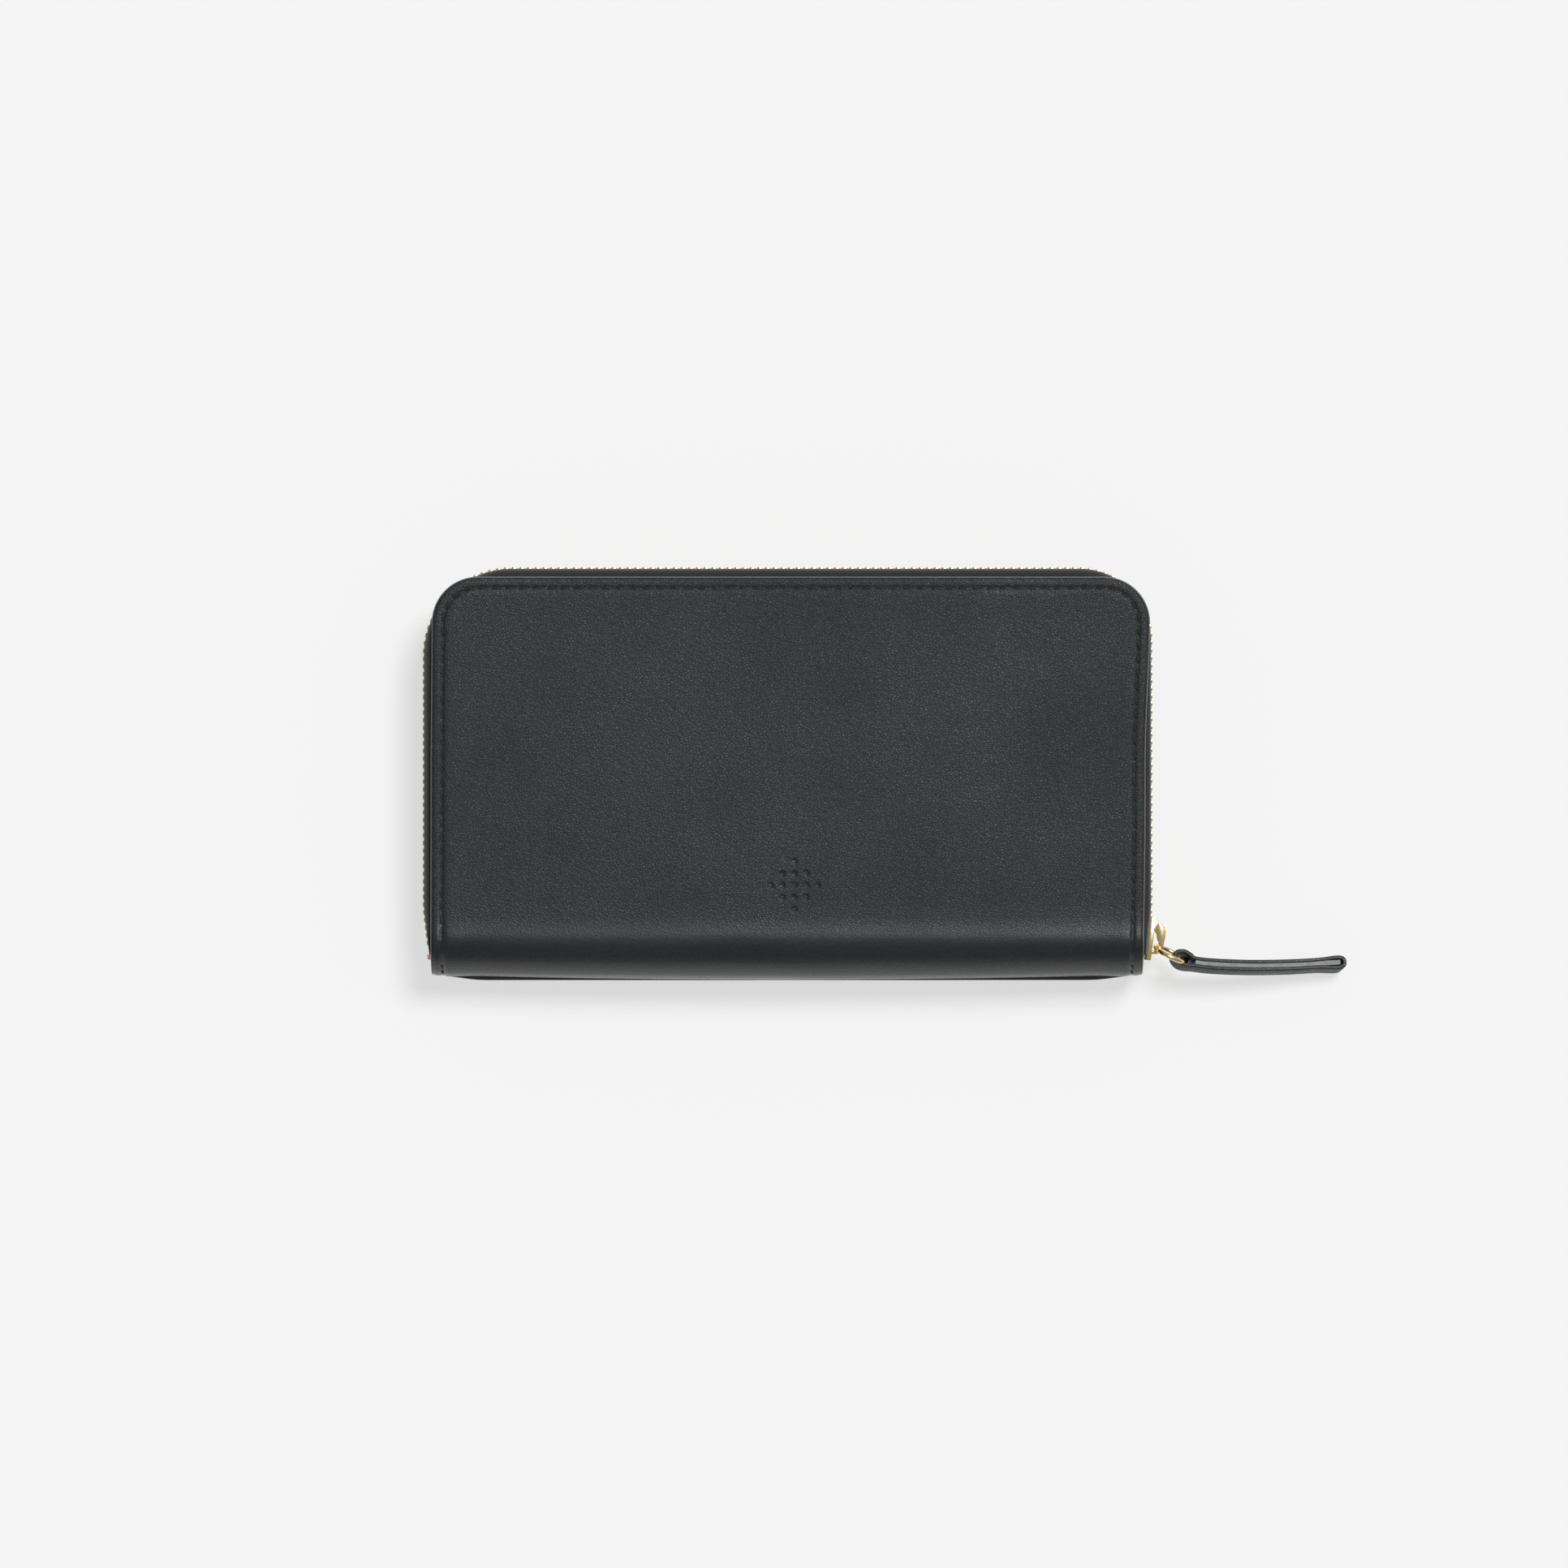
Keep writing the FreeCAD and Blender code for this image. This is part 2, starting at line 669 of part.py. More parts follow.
def make_card_side():
    """Card panel on the lining, and three stepped pockets on it."""
    rounded_panel(
        "back_card_panel", "Sizes.card_panel_width / 2",
        "Sizes.wallet_depth / 2 - Sizes.card_panel_from_spine",
        "Sizes.card_panel_depth + Sizes.card_panel_from_spine - Sizes.wallet_depth / 2",
        "Sizes.card_panel_corner", "Sizes.card_leather", LINING_TOP
    )
    for number in (1, 2, 3):
        box(
            "back_card_pocket_%d" % number, "Sizes.card_panel_width",
            "Sizes.card_panel_depth - %d * Sizes.pocket_step" % number, "Sizes.card_leather",
            "-Sizes.card_panel_width / 2", "Sizes.card_panel_from_spine - Sizes.wallet_depth / 2",
            "%s + %d * Sizes.card_leather" % (LINING_TOP, number)
        )


def folded_strip(points, thin, length, start):
    """A thin strip folded along lines parallel to Y, through points in the XZ plane."""
    parts = []
    for index in range(len(points) - 1):
        (x1, z1), (x2, z2) = points[index], points[index + 1]
        run = math.hypot(x2 - x1, z2 - z1)
        slab = Part.makeBox(run, length, thin, Vector(0, 0, -thin / 2))
        angle = -math.degrees(math.atan2(z2 - z1, x2 - x1))
        slab.Placement = Placement(Vector(x1, start, z1), Rotation(Vector(0, 1, 0), angle))
        parts.append(slab)
        if index:
            parts.append(Part.makeCylinder(thin / 2, length, Vector(x1, start, z1), Vector(0, 1, 0)))
    return parts[0].fuse(parts[1:]).removeSplitter()


def make_gussets():
    """Pleated side walls between the back lining and the coin pocket's edge."""
    thin = size("gusset_leather")
    pocket_side = size("coin_pocket_width") / 2
    outside = half_width - size("lining_inset") - 2.2
    foot = lining_top + thin / 2
    line = (
        (size("card_panel_width") / 2 + 1.0, foot),
        (outside, foot),
        (outside, foot + 2.6),
        (pocket_side + thin, foot + 4.4),
        (outside - 2.4, pocket_low + 1.0),
        (pocket_side + thin / 2, middle - thin),
    )
    near = pocket_near
    for side, sign in (("left", -1), ("right", 1)):
        points = [(sign * x, z) for x, z in line]
        strip = folded_strip(points, thin, size("gusset_length"), near)
        keep = Part.makeBox(200, 200, thickness, Vector(sign * pocket_side - (0 if sign > 0 else 200), -100, 0))
        feature(side + "_back_gusset", strip.common(keep).common(inside_spine(spine_inside - 0.1)))


def make_coin_pocket():
    """Zipped coin pocket in the middle, tied to the spine lining by its hem."""
    width = "Sizes.coin_pocket_width"
    left = "-Sizes.coin_pocket_width / 2"
    near = "Sizes.coin_pocket_from_spine - Sizes.wallet_depth / 2"
    low = "(Sizes.wallet_thickness - Sizes.coin_pocket_thickness) / 2"
    inner = "Sizes.coin_pocket_thickness - 2 * Sizes.coin_wall"
    depth = "Sizes.coin_pocket_depth"
    high = "(Sizes.wallet_thickness + Sizes.coin_pocket_thickness) / 2 - Sizes.coin_wall"
    for side, base in (("back", low), ("front", high)):
        box("coin_pocket_%s_wall" % side, width, depth, "Sizes.coin_wall", left, near, base)
        box(
            "coin_zip_%s_tape" % side, width, "Sizes.coin_zip_height", "Sizes.coin_wall", left,
            near + " + " + depth, base
        )
    outside = box("coin_edge_outside", width, depth, inner, left, near, low + " + Sizes.coin_wall")
    inside = box(
        "coin_edge_inside", width + " - 2 * Sizes.coin_wall", depth, inner, left + " + Sizes.coin_wall",
        near + " + Sizes.coin_wall", low + " + Sizes.coin_wall"
    )
    boolean("Cut", "coin_pocket_edge", outside, inside)
    hem = box(
        "hem_block", "Sizes.coin_pocket_width - 12", "Sizes.coin_pocket_from_spine",
        "Sizes.hem_thickness", left + " + 6", "-Sizes.wallet_depth / 2",
        "(Sizes.wallet_thickness - Sizes.hem_thickness) / 2"
    )
    boolean("Common", "coin_pocket_hem", hem, doc.getObject("spine_hollow"))


def make_coin_zip():
    """Two rows of coin zip teeth with their end stops."""
    gap = size("coin_slit") / 2
    end = size("coin_pocket_width") / 2 - size("coin_zip_end")
    top = pocket_far + size("coin_zip_height")
    high = size("coin_tooth_height")
    pitch = size("tooth_pitch")
    teeth = []
    for index in range(int(2 * end / pitch)):
        x = -end + index * pitch + 0.4
        for z in (middle - coin_chain_half, middle + gap):
            teeth.append(Part.makeBox(size("tooth_length"), high, coin_chain_half - gap, Vector(x, top - high, z)))
    feature("coin_zip_teeth", Part.makeCompound(teeth))
    stops = [
        Part.makeBox(1.6, high, 2 * coin_chain_half, Vector(x, top - high, middle - coin_chain_half))
        for x in (-end - 1.7, end + 0.1)
    ]
    feature("coin_zip_stops", Part.makeCompound(stops))


def coin_slider_place():
    """Place of the coin slider at rest: closed, near the right-hand end."""
    x = size("coin_pocket_width") / 2 - size("coin_zip_end") - size("coin_slider_start")
    top = pocket_far + size("coin_zip_height")
    return Placement(Vector(x, top, middle), Rotation())


def make_coin_slider():
    """Coin slider: a plate above and below the teeth, a web in the slit, a bridge and its pull."""
    length = size("coin_slider_length")
    high = size("coin_tooth_height")
    wide = 2 * coin_chain_half - 0.2
    gap = 0.25
    plate = 0.7
    web = size("coin_slit") / 2 - 0.06
    upper = Part.makeBox(length, plate, wide, Vector(-length / 2, gap, -wide / 2))
    lower = Part.makeBox(length, plate, wide, Vector(-length / 2, -high - gap - plate, -wide / 2))
    joint = Part.makeBox(length / 3, high + 2 * gap, 2 * web, Vector(0, -high - gap, -web))
    body = upper.fuse([lower, joint]).removeSplitter()
    rounded = [edge for edge in body.Edges if abs(edge.Length - plate) < 0.001]
    feature("coin_slider_body", body.makeFillet(0.3 * plate, rounded), coin_slider_place())
    base = gap + plate
    arch = Part.makeBox(4.0, 2.4, 1.2, Vector(-2.0, base, -0.6))
    hole = Part.makeBox(2.6, 1.7, 1.2, Vector(-1.3, base, -0.6))
    feature("coin_slider_bridge", arch.cut(hole).removeSplitter(), coin_slider_place())
    bar = Part.makeCylinder(0.4, 4.0, Vector(0, 0, -2.0))
    rails = [Part.makeBox(3.4, 0.8, 0.9, Vector(-3.4, -0.4, z)) for z in (-2.0, 1.1)]
    leaf_length = size("coin_pull_length") - 3.2
    leaf = Part.makeBox(leaf_length, 0.8, 4.0, Vector(-3.2 - leaf_length, -0.4, -2.0))
    corners = [edge for edge in leaf.Edges if abs(edge.Length - 0.8) < 0.001 and edge.CenterOfMass.x < -4]
    pull = bar.fuse(rails + [leaf.makeFillet(1.2, corners)]).removeSplitter()
    place = coin_slider_place()
    place.Base = place.Base + Vector(0, base + 0.85, 0)
    feature("coin_pull", pull, place)


def make_front_side():
    """The front pieces mirror the back ones about the wallet's middle plane."""
    names = [
        "cover", "stiffener", "lining", "card_panel", "card_pocket_1", "card_pocket_2", "card_pocket_3",
        "seam_stitching", "zip_tape", "zip_teeth",
    ]
    pairs = [("back_" + name, "front_" + name) for name in names]
    pairs += [(side + "_back_gusset", side + "_front_gusset") for side in ("left", "right")]
    for source, label in pairs:
        mirror = doc.addObject("Part::Mirroring", label)
        mirror.Source = doc.getObject(source)
        mirror.Normal = Vector(0, 0, 1)
        bind(mirror, Base__z=MIDDLE)
    return [name for pair in pairs for name in pair]


def check_and_write(labels):
    """Stop on a failed object or a bad shape, then write one file for each sub-part."""
    doc.recompute()
    failed = [item.Label for item in doc.Objects if {"Invalid", "Error"} & set(item.State)]
    if failed:
        raise RuntimeError("failed objects: " + ", ".join(failed))
    os.makedirs("parts", exist_ok=True)
    for label in labels:
        shape = doc.getObject(label).Shape
        if shape.isNull() or not shape.isValid() or not shape.Solids:
            raise RuntimeError("bad shape: " + label)
    for label in labels:
        doc.getObject(label).Shape.exportStep("parts/%s.step" % label)
    print("wrote %d sub-parts" % len(labels))


make_covers()
make_stitches()
make_main_zip()
make_slider()
make_hook()
make_ring()
make_strap()
make_card_side()
make_coin_pocket()
make_coin_zip()
make_coin_slider()
make_gussets()
doc.recompute()
mirrored = make_front_side()
check_and_write(mirrored + [
    "spine_cover", "spine_interlining", "spine_lining", "zip_bottom_stop", "left_zip_end_tab",
    "right_zip_end_tab", "coin_pocket_back_wall", "coin_pocket_front_wall", "coin_pocket_edge",
    "coin_pocket_hem", "coin_zip_back_tape", "coin_zip_front_tape", "coin_zip_teeth", "coin_zip_stops",
    "coin_slider_body", "coin_slider_bridge", "coin_pull", "slider_body", "slider_hook", "pull_ring",
    "pull_strap", "pull_strap_stitching",
])
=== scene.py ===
"""Looks of a zip around wallet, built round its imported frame.

Builders work in millimetres in the frame's own axes and scale the finished mesh to metres.
"""
import json
import logging
import math
from dataclasses import dataclass
from enum import Enum
from typing import Callable, Iterator, Optional, Sequence

import bmesh
import bpy
from mathutils import Matrix, Vector, noise

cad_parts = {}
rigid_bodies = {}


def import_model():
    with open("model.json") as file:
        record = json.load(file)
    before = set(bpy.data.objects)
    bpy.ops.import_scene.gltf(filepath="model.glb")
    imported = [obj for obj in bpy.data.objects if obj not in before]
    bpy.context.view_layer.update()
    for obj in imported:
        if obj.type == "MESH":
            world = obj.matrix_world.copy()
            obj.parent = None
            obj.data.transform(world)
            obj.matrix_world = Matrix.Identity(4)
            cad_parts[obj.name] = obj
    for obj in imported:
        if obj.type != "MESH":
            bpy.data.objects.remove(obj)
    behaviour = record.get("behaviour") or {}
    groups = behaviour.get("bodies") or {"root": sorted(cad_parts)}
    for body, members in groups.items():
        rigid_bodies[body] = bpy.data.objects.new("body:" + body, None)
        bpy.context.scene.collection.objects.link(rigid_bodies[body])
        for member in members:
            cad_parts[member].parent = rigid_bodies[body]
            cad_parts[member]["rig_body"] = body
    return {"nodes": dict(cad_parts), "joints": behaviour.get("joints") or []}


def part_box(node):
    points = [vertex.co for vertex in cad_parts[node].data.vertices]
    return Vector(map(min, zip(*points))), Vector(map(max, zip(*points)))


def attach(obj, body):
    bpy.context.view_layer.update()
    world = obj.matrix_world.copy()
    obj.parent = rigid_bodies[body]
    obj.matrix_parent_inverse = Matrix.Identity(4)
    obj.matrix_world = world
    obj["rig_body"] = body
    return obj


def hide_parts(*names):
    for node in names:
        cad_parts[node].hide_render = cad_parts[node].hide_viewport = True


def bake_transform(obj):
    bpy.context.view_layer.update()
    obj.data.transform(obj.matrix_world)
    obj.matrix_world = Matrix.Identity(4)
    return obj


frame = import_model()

LOG = logging.getLogger("wallet")
MM = 0.001
UP = Vector((0.0, 0.0, 1.0))
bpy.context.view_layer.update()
Place = Callable[[float, float, float], Vector]


class Slot(Enum):
    """Material slots of the record."""

    COVER = "cover_leather"
    INNER = "inner_leather"
    LINING = "lining"
    BOARD = "board"
    TAPE = "zip_tape"
    TEETH = "zip_teeth"
    METAL = "gold_metal"
    THREAD = "thread"


class Side(Enum):
    """The two covers, and which way each one's outer face looks."""

    BACK = -1
    FRONT = 1

    @property
    def body(self) -> str:
        """CAD body that the cover belongs to."""
        return self.name.lower()


# ---------------------------------------------------------------- shader helpers


class Value:
    """A number socket in a material; arithmetic on it adds Math nodes."""

    def __init__(self, shader: "Shader", socket: bpy.types.NodeSocket) -> None:
        """Wrap one output socket of the shader."""
        self.shader = shader
        self.socket = socket

    def _math(self, operation: str, first: object, second: object = 0.0) -> "Value":
        """Add one Math node.

        Args:
            operation: Name of the Math node's operation.
            first: Value or number for the first input.
            second: Value or number for the second input.

        Returns:
            The node's result.
        """
        node = self.shader.node("ShaderNodeMath", {"operation": operation}, {0: first, 1: second})
        return Value(self.shader, node.outputs[0])

    def __add__(self, other: object) -> "Value":
        """Sum."""
        return self._math("ADD", self, other)

    def __radd__(self, other: object) -> "Value":
        """Sum with the number first."""
        return self._math("ADD", other, self)

    def __sub__(self, other: object) -> "Value":
        """Difference."""
        return self._math("SUBTRACT", self, other)

    def __rsub__(self, other: object) -> "Value":
        """Difference with the number first."""
        return self._math("SUBTRACT", other, self)

    def __mul__(self, other: object) -> "Value":
        """Product."""
        return self._math("MULTIPLY", self, other)

    def __rmul__(self, other: object) -> "Value":
        """Product with the number first."""
        return self._math("MULTIPLY", other, self)

    def sine(self) -> "Value":
        """Sine of the value."""
        return self._math("SINE", self)

    def size(self) -> "Value":
        """The value without its sign."""
        return self._math("ABSOLUTE", self)

    def between(self, low: float, high: float) -> "Value":
        """Smooth step from 0 at low to 1 at high.

        Args:
            low: Where the step starts.
            high: Where it ends.

        Returns:
            The stepped value.
        """
        settings = {"interpolation_type": "SMOOTHSTEP", "clamp": True}
        inputs = {"Value": self, "From Min": low, "From Max": high}
        node = self.shader.node("ShaderNodeMapRange", settings, inputs)
        return Value(self.shader, node.outputs["Result"])


class Shader:
    """A node material that is written in Python expressions."""

    def __init__(self, name: str) -> None:
        """Start a material with a Principled shader and nothing else.

        Args:
            name: Name of the material.
        """
        self.material = bpy.data.materials.new(name)
        self.material.use_nodes = True
        self.tree = self.material.node_tree
        self.tree.nodes.clear()
        self.surface = self.node("ShaderNodeBsdfPrincipled", {}, {})
        output = self.tree.nodes.new("ShaderNodeOutputMaterial")
        self.tree.links.new(self.surface.outputs[0], output.inputs["Surface"])

    def node(self, kind: str, settings: dict, inputs: dict) -> bpy.types.Node:
        """Add a node.

        Args:
            kind: Node type.
            settings: The node's own settings, which are set first.
            inputs: Numbers, colours, sockets or Values for its input sockets.

        Returns:
            The new node.
        """
        node = self.tree.nodes.new(kind)
        for name, value in settings.items():
            setattr(node, name, value)
        for name, value in inputs.items():
            self.feed(node.inputs[name], value)
        return node

    def feed(self, target: bpy.types.NodeSocket, value: object) -> None:
        """Link a Value or socket to an input, or set its number.

        Args:
            target: The input.
            value: What it gets.
        """
        if isinstance(value, Value):
            self.tree.links.new(value.socket, target)
        elif isinstance(value, bpy.types.NodeSocket):
            self.tree.links.new(value, target)
        else:
            target.default_value = value

    def set(self, **inputs: object) -> None:
        """Set or link the Principled shader's inputs; an underscore stands for a space."""
        for name, value in inputs.items():
            self.feed(self.surface.inputs[name.replace("_", " ")], value)

    def place(self) -> bpy.types.NodeSocket:
        """Object coordinates, in metres."""
        return self.node("ShaderNodeTexCoord", {}, {}).outputs["Object"]

    def stretch(self, vector: object, scale: Sequence[float], turn: float = 0.0) -> bpy.types.NodeSocket:
        """Scale a vector along each axis after turning it about Z by a number of degrees."""
        inputs = {"Vector": vector, "Rotation": (0.0, 0.0, math.radians(turn)), "Scale": scale}
        return self.node("ShaderNodeMapping", {}, inputs).outputs[0]

    def surface_place(self, layer: str) -> tuple[Value, Value]:
        """The two coordinates of a UV layer."""
        layer_node = self.node("ShaderNodeUVMap", {"uv_map": layer}, {})
        parts = self.node("ShaderNodeSeparateXYZ", {}, {0: layer_node.outputs[0]})
        return Value(self, parts.outputs[0]), Value(self, parts.outputs[1])

    def noise(self, vector: object, scale: float, detail: float = 2.0, rough: float = 0.5) -> Value:
        """Noise from 0 to 1."""
        inputs = {"Vector": vector, "Scale": scale, "Detail": detail, "Roughness": rough}
        return Value(self, self.node("ShaderNodeTexNoise", {}, inputs).outputs[0])

    def warp(self, vector: object, scale: float, amount: float) -> bpy.types.NodeSocket:
        """Shift a vector by noise of a given scale and amount."""
        wobble = self.node("ShaderNodeTexNoise", {}, {"Vector": vector, "Scale": scale}).outputs["Color"]
        scaled = self.node("ShaderNodeVectorMath", {"operation": "SCALE"}, {0: wobble, "Scale": amount})
        return self.node("ShaderNodeVectorMath", {}, {0: vector, 1: scaled.outputs[0]}).outputs[0]

    def cells(self, vector: object, scale: float) -> Value:
        """Distance inside a pattern of irregular cells."""
        settings = {"feature": "DISTANCE_TO_EDGE"}
        node = self.node("ShaderNodeTexVoronoi", settings, {"Vector": vector, "Scale": scale})
        return Value(self, node.outputs["Distance"])

    def mix(self, factor: object, low: Sequence[float], high: object) -> bpy.types.NodeSocket:
        """Mix two colours by a factor."""
        inputs = {0: factor, 6: low, 7: high}
        return self.node("ShaderNodeMix", {"data_type": "RGBA"}, inputs).outputs[2]

    def bump(self, height: Value, strength: float, distance: float) -> None:
        """Give the surface a height map; distance is in metres."""
        inputs = {"Height": height, "Strength": strength, "Distance": distance}
        self.set(Normal=self.node("ShaderNodeBump", {}, inputs).outputs[0])


def grey(level: float, tint: Sequence[float] = (1.0, 1.0, 1.0)) -> tuple[float, float, float, float]:
    """A linear colour of one level with a slight tint."""
    return (level * tint[0], level * tint[1], level * tint[2], 1.0)


# ---------------------------------------------------------------- finishes

SEAM_INSET = 2.9
SEAM_PITCH = 3.56
SPINE_FROM = 92.6


@dataclass(frozen=True)
class Leather:
    """Grained leather with fine cells, wrinkles and a soft sheen."""

    name: str
    level: float = 0.0175
    cell: float = 0.55
    depth: float = 0.14
    roughness: float = 0.46
    stitched: bool = False

    def material(self) -> bpy.types.Material:
        """Build the material."""
        shader = Shader(self.name)
        place = shader.place()
        warped = shader.warp(place, 900.0, 0.0005)
        across_grain = shader.stretch(warped, (0.75, 1.0, 1.0), 14.0)
        ridges = shader.cells(across_grain, 1.0 / (self.cell * MM)).between(0.0, 0.26)
        wrinkles = shader.noise(shader.stretch(warped, (0.4, 1.0, 1.0), 12.0), 1600.0, 3.0, 0.55)
        pores = shader.noise(place, 5200.0, 1.0)
        broad = shader.noise(place, 26.0, 3.0, 0.55)
        patchy = 0.55 + broad * 0.9
        height = (ridges * 0.42 + wrinkles * 0.9) * patchy + pores * 0.1
        roughness = self.roughness + (1.0 - ridges) * 0.16 + broad.between(0.35, 0.68) * 0.09 - 0.05
        tint = (0.9, 1.0, 1.11)
        colour = shader.mix(
            ridges * 0.45 + wrinkles * 0.55, grey(self.level * 0.25, tint), grey(self.level * 1.25, tint)
        )
        if self.stitched:
            along, inward = shader.surface_place("seam")
            pull = (along * (math.pi / SEAM_PITCH)).sine().size()
            near = 1.0 - (inward - SEAM_INSET).size().between(0.1, 0.9)
            _, down = shader.surface_place("flat")
            bend = down.between(SPINE_FROM - 10.0, SPINE_FROM + 1.0)
            low = down.between(SPINE_FROM + 3.0, SPINE_FROM + 12.0)
            height = height * (1.0 - bend * 0.78) + near * pull * -0.6
            roughness = roughness - bend * 0.12 - low * 0.19
        shader.set(Base_Color=colour, Roughness=roughness, Specular_IOR_Level=0.42)
        shader.bump(height, 1.0, self.depth * MM)
        return shader.material


@dataclass(frozen=True)
class PaintedEdge:
    """Cut leather edge, sanded and sealed with edge paint."""

    name: str = "painted_edge"
    # The default level is lighter than the edge paint's own colour: a painted highlight.
    level: float = 0.11

    def material(self) -> bpy.types.Material:
        """Build the material."""
        shader = Shader(self.name)
        drops = shader.noise(shader.place(), 700.0, 3.0)
        shader.set(
            Base_Color=shader.mix(drops, grey(self.level * 0.75), grey(self.level * 1.2)),
            Roughness=0.36 + drops * 0.15,
            Specular_IOR_Level=0.6,
        )
        shader.bump(drops, 0.35, 0.08 * MM)
        return shader.material


@dataclass(frozen=True)
class Metal:
    """Polished light gold plating with faint wear."""

    name: str
    roughness: float = 0.1
    colour: tuple[float, float, float, float] = (0.97, 0.76, 0.40, 1.0)

    def material(self) -> bpy.types.Material:
        """Build the material."""
        shader = Shader(self.name)
        place = shader.place()
        smear = shader.noise(place, 900.0, 4.0, 0.6)
        scratches = shader.noise(shader.stretch(place, (1.0, 9.0, 1.0), 30.0), 2600.0, 2.0)
        darker = tuple(0.82 * part for part in self.colour[:3]) + (1.0,)
        shader.set(
            Base_Color=shader.mix(smear, self.colour, darker),
            Metallic=1.0,
            Roughness=self.roughness + smear * 0.12 + scratches * 0.05,
        )
        shader.bump(scratches, 0.12, 0.02 * MM)
        return shader.material


@dataclass(frozen=True)
class Weave:
    """Woven cloth whose yarns follow the piece's own surface, in millimetres."""

    name: str
    level: float
    yarn: float
    slant: float = 1.0
    rib: float = 0.0

    def material(self) -> bpy.types.Material:
        """Build the material."""
        shader = Shader(self.name)
        along, across = shader.surface_place("flat")
        turn = 2.0 * math.pi / self.yarn
        chevron = (across * (math.pi / (self.yarn * 5.0))).sine().size() * self.rib
        warp = ((along + across * self.slant + chevron) * turn).sine() * 0.5 + 0.5
        weft = ((across - along * 0.5) * turn * 0.5).sine() * 0.5 + 0.5
        fuzz = shader.noise(shader.place(), 3500.0, 3.0, 0.7)
        height = warp * 0.7 + weft * 0.3 + fuzz * 0.35
        lit_yarn = grey(self.level * 1.3, (1.0, 0.99, 0.96))
        shader.set(
            Base_Color=shader.mix(height, grey(self.level * 0.35), lit_yarn),
            Roughness=0.78 + fuzz * 0.15,
            Sheen_Weight=0.25,
            Sheen_Roughness=0.5,
            Specular_IOR_Level=0.3,
        )
        shader.bump(height, 0.8, self.yarn * 0.16 * MM)
        return shader.material


@dataclass(frozen=True)
class Thread:
    """Waxed, twisted thread."""

    name: str
    level: float = 0.006

    def material(self) -> bpy.types.Material:
        """Build the material."""
        shader = Shader(self.name)
        twist = shader.noise(shader.stretch(shader.place(), (1.0, 1.0, 0.4), 35.0), 4200.0, 2.0)
        shader.set(
            Base_Color=shader.mix(twist, grey(self.level * 0.4), grey(self.level * 1.6)),
            Roughness=0.5 + twist * 0.2,
        )
        shader.bump(twist, 0.6, 0.06 * MM)
        return shader.material


@dataclass(frozen=True)
class Board:
    """Grey fibre board that stiffens the covers."""

    name: str = "fibre_board"

    def material(self) -> bpy.types.Material:
        """Build the material."""
        shader = Shader(self.name)
        fibres = shader.noise(shader.stretch(shader.place(), (1.0, 4.0, 1.0)), 1500.0, 4.0)
        pulp = (1.0, 0.96, 0.9)
        colour = shader.mix(fibres, grey(0.12, pulp), grey(0.26, pulp))
        shader.set(Base_Color=colour, Roughness=0.85 + fibres * 0.1)
        shader.bump(fibres, 0.4, 0.05 * MM)
        return shader.material


class Finishes:
    """Every material of the wallet, built once."""

    def __init__(self) -> None:
        """Build the materials."""
        self.cover = Leather("cover_leather", stitched=True).material()
        self.pressed = Leather("pressed_leather", level=0.012, cell=0.5, depth=0.1, roughness=0.4).material()
        self.plain = Leather("trim_leather", cell=0.7, depth=0.1, roughness=0.5).material()
        self.inner = Leather("inner_leather", level=0.03, cell=0.6, depth=0.09, roughness=0.5).material()
        self.strap = Leather("strap_leather", level=0.034, cell=0.5, depth=0.04, roughness=0.42).material()
        # Edge paint in a lighter copy: this light grey is a painted highlight along the top rim of the
        # covers and on the card pockets' walls; the covers' side walls keep the paint's own dark colour as
        # sealed_wall.
        self.edge = PaintedEdge().material()
        self.wall = PaintedEdge("sealed_wall", level=0.03).material()
        self.core = PaintedEdge("strap_seam", level=0.05).material()
        self.tape = Weave("zip_tape_weave", level=0.018, yarn=0.62, rib=0.5).material()
        self.lining = Weave("lining_twill", level=0.03, yarn=0.5).material()
        self.teeth = Metal("zip_tooth_gold", roughness=0.24, colour=(0.72, 0.54, 0.29, 1.0)).material()
        self.gold = Metal("slider_gold").material()
        self.thread = Thread("black_thread").material()
        self.board = Board().material()


# ---------------------------------------------------------------- plan and mapping


def joint_of(key: str, name: str) -> dict:
    """The joint whose entry has this name under a key."""
    return next(joint for joint in frame["joints"] if joint[key] == name)


@dataclass(frozen=True)
class Plan:
    """Overall places, read from the frame, in millimetres."""

    half_width: float
    far: float
    near: float
    thickness: float
    corner: float = 12.0

    @classmethod
    def from_frame(cls) -> "Plan":
        """Read the covers' boxes."""
        _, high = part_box("front_cover")
        spine_low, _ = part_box("spine_cover")
        return cls(high.x / MM, high.y / MM, spine_low.y / MM, high.z / MM)

    @property
    def middle(self) -> float:
        """Height of the middle plane."""
        return self.thickness / 2

    @property
    def spine_y(self) -> float:
        """Where the covers end and the spine's bend begins."""
        return self.near + self.middle

    @property
    def flat(self) -> float:
        """Length of a cover from its free edge to the bend."""
        return self.far - self.spine_y


def step(value: float) -> float:
    """Smooth step of a number from 0 to 1."""
    value = min(1.0, max(0.0, value))
    return value * value * (3.0 - 2.0 * value)


def hump(value: float, centre: float, width: float) -> float:
    """A bell curve of height 1."""
    return math.exp(-(((value - centre) / width) ** 2))


def rounding(distance: float, radius: float) -> float:
    """How much a rounded edge lies below its flat face.

    Args:
        distance: Distance from the edge.
        radius: Radius of the rounding.

    Returns:
        The drop.
    """
    if distance >= radius:
        return 0.0
    return radius - math.sqrt(max(0.0, radius ** 2 - (radius - distance) ** 2))


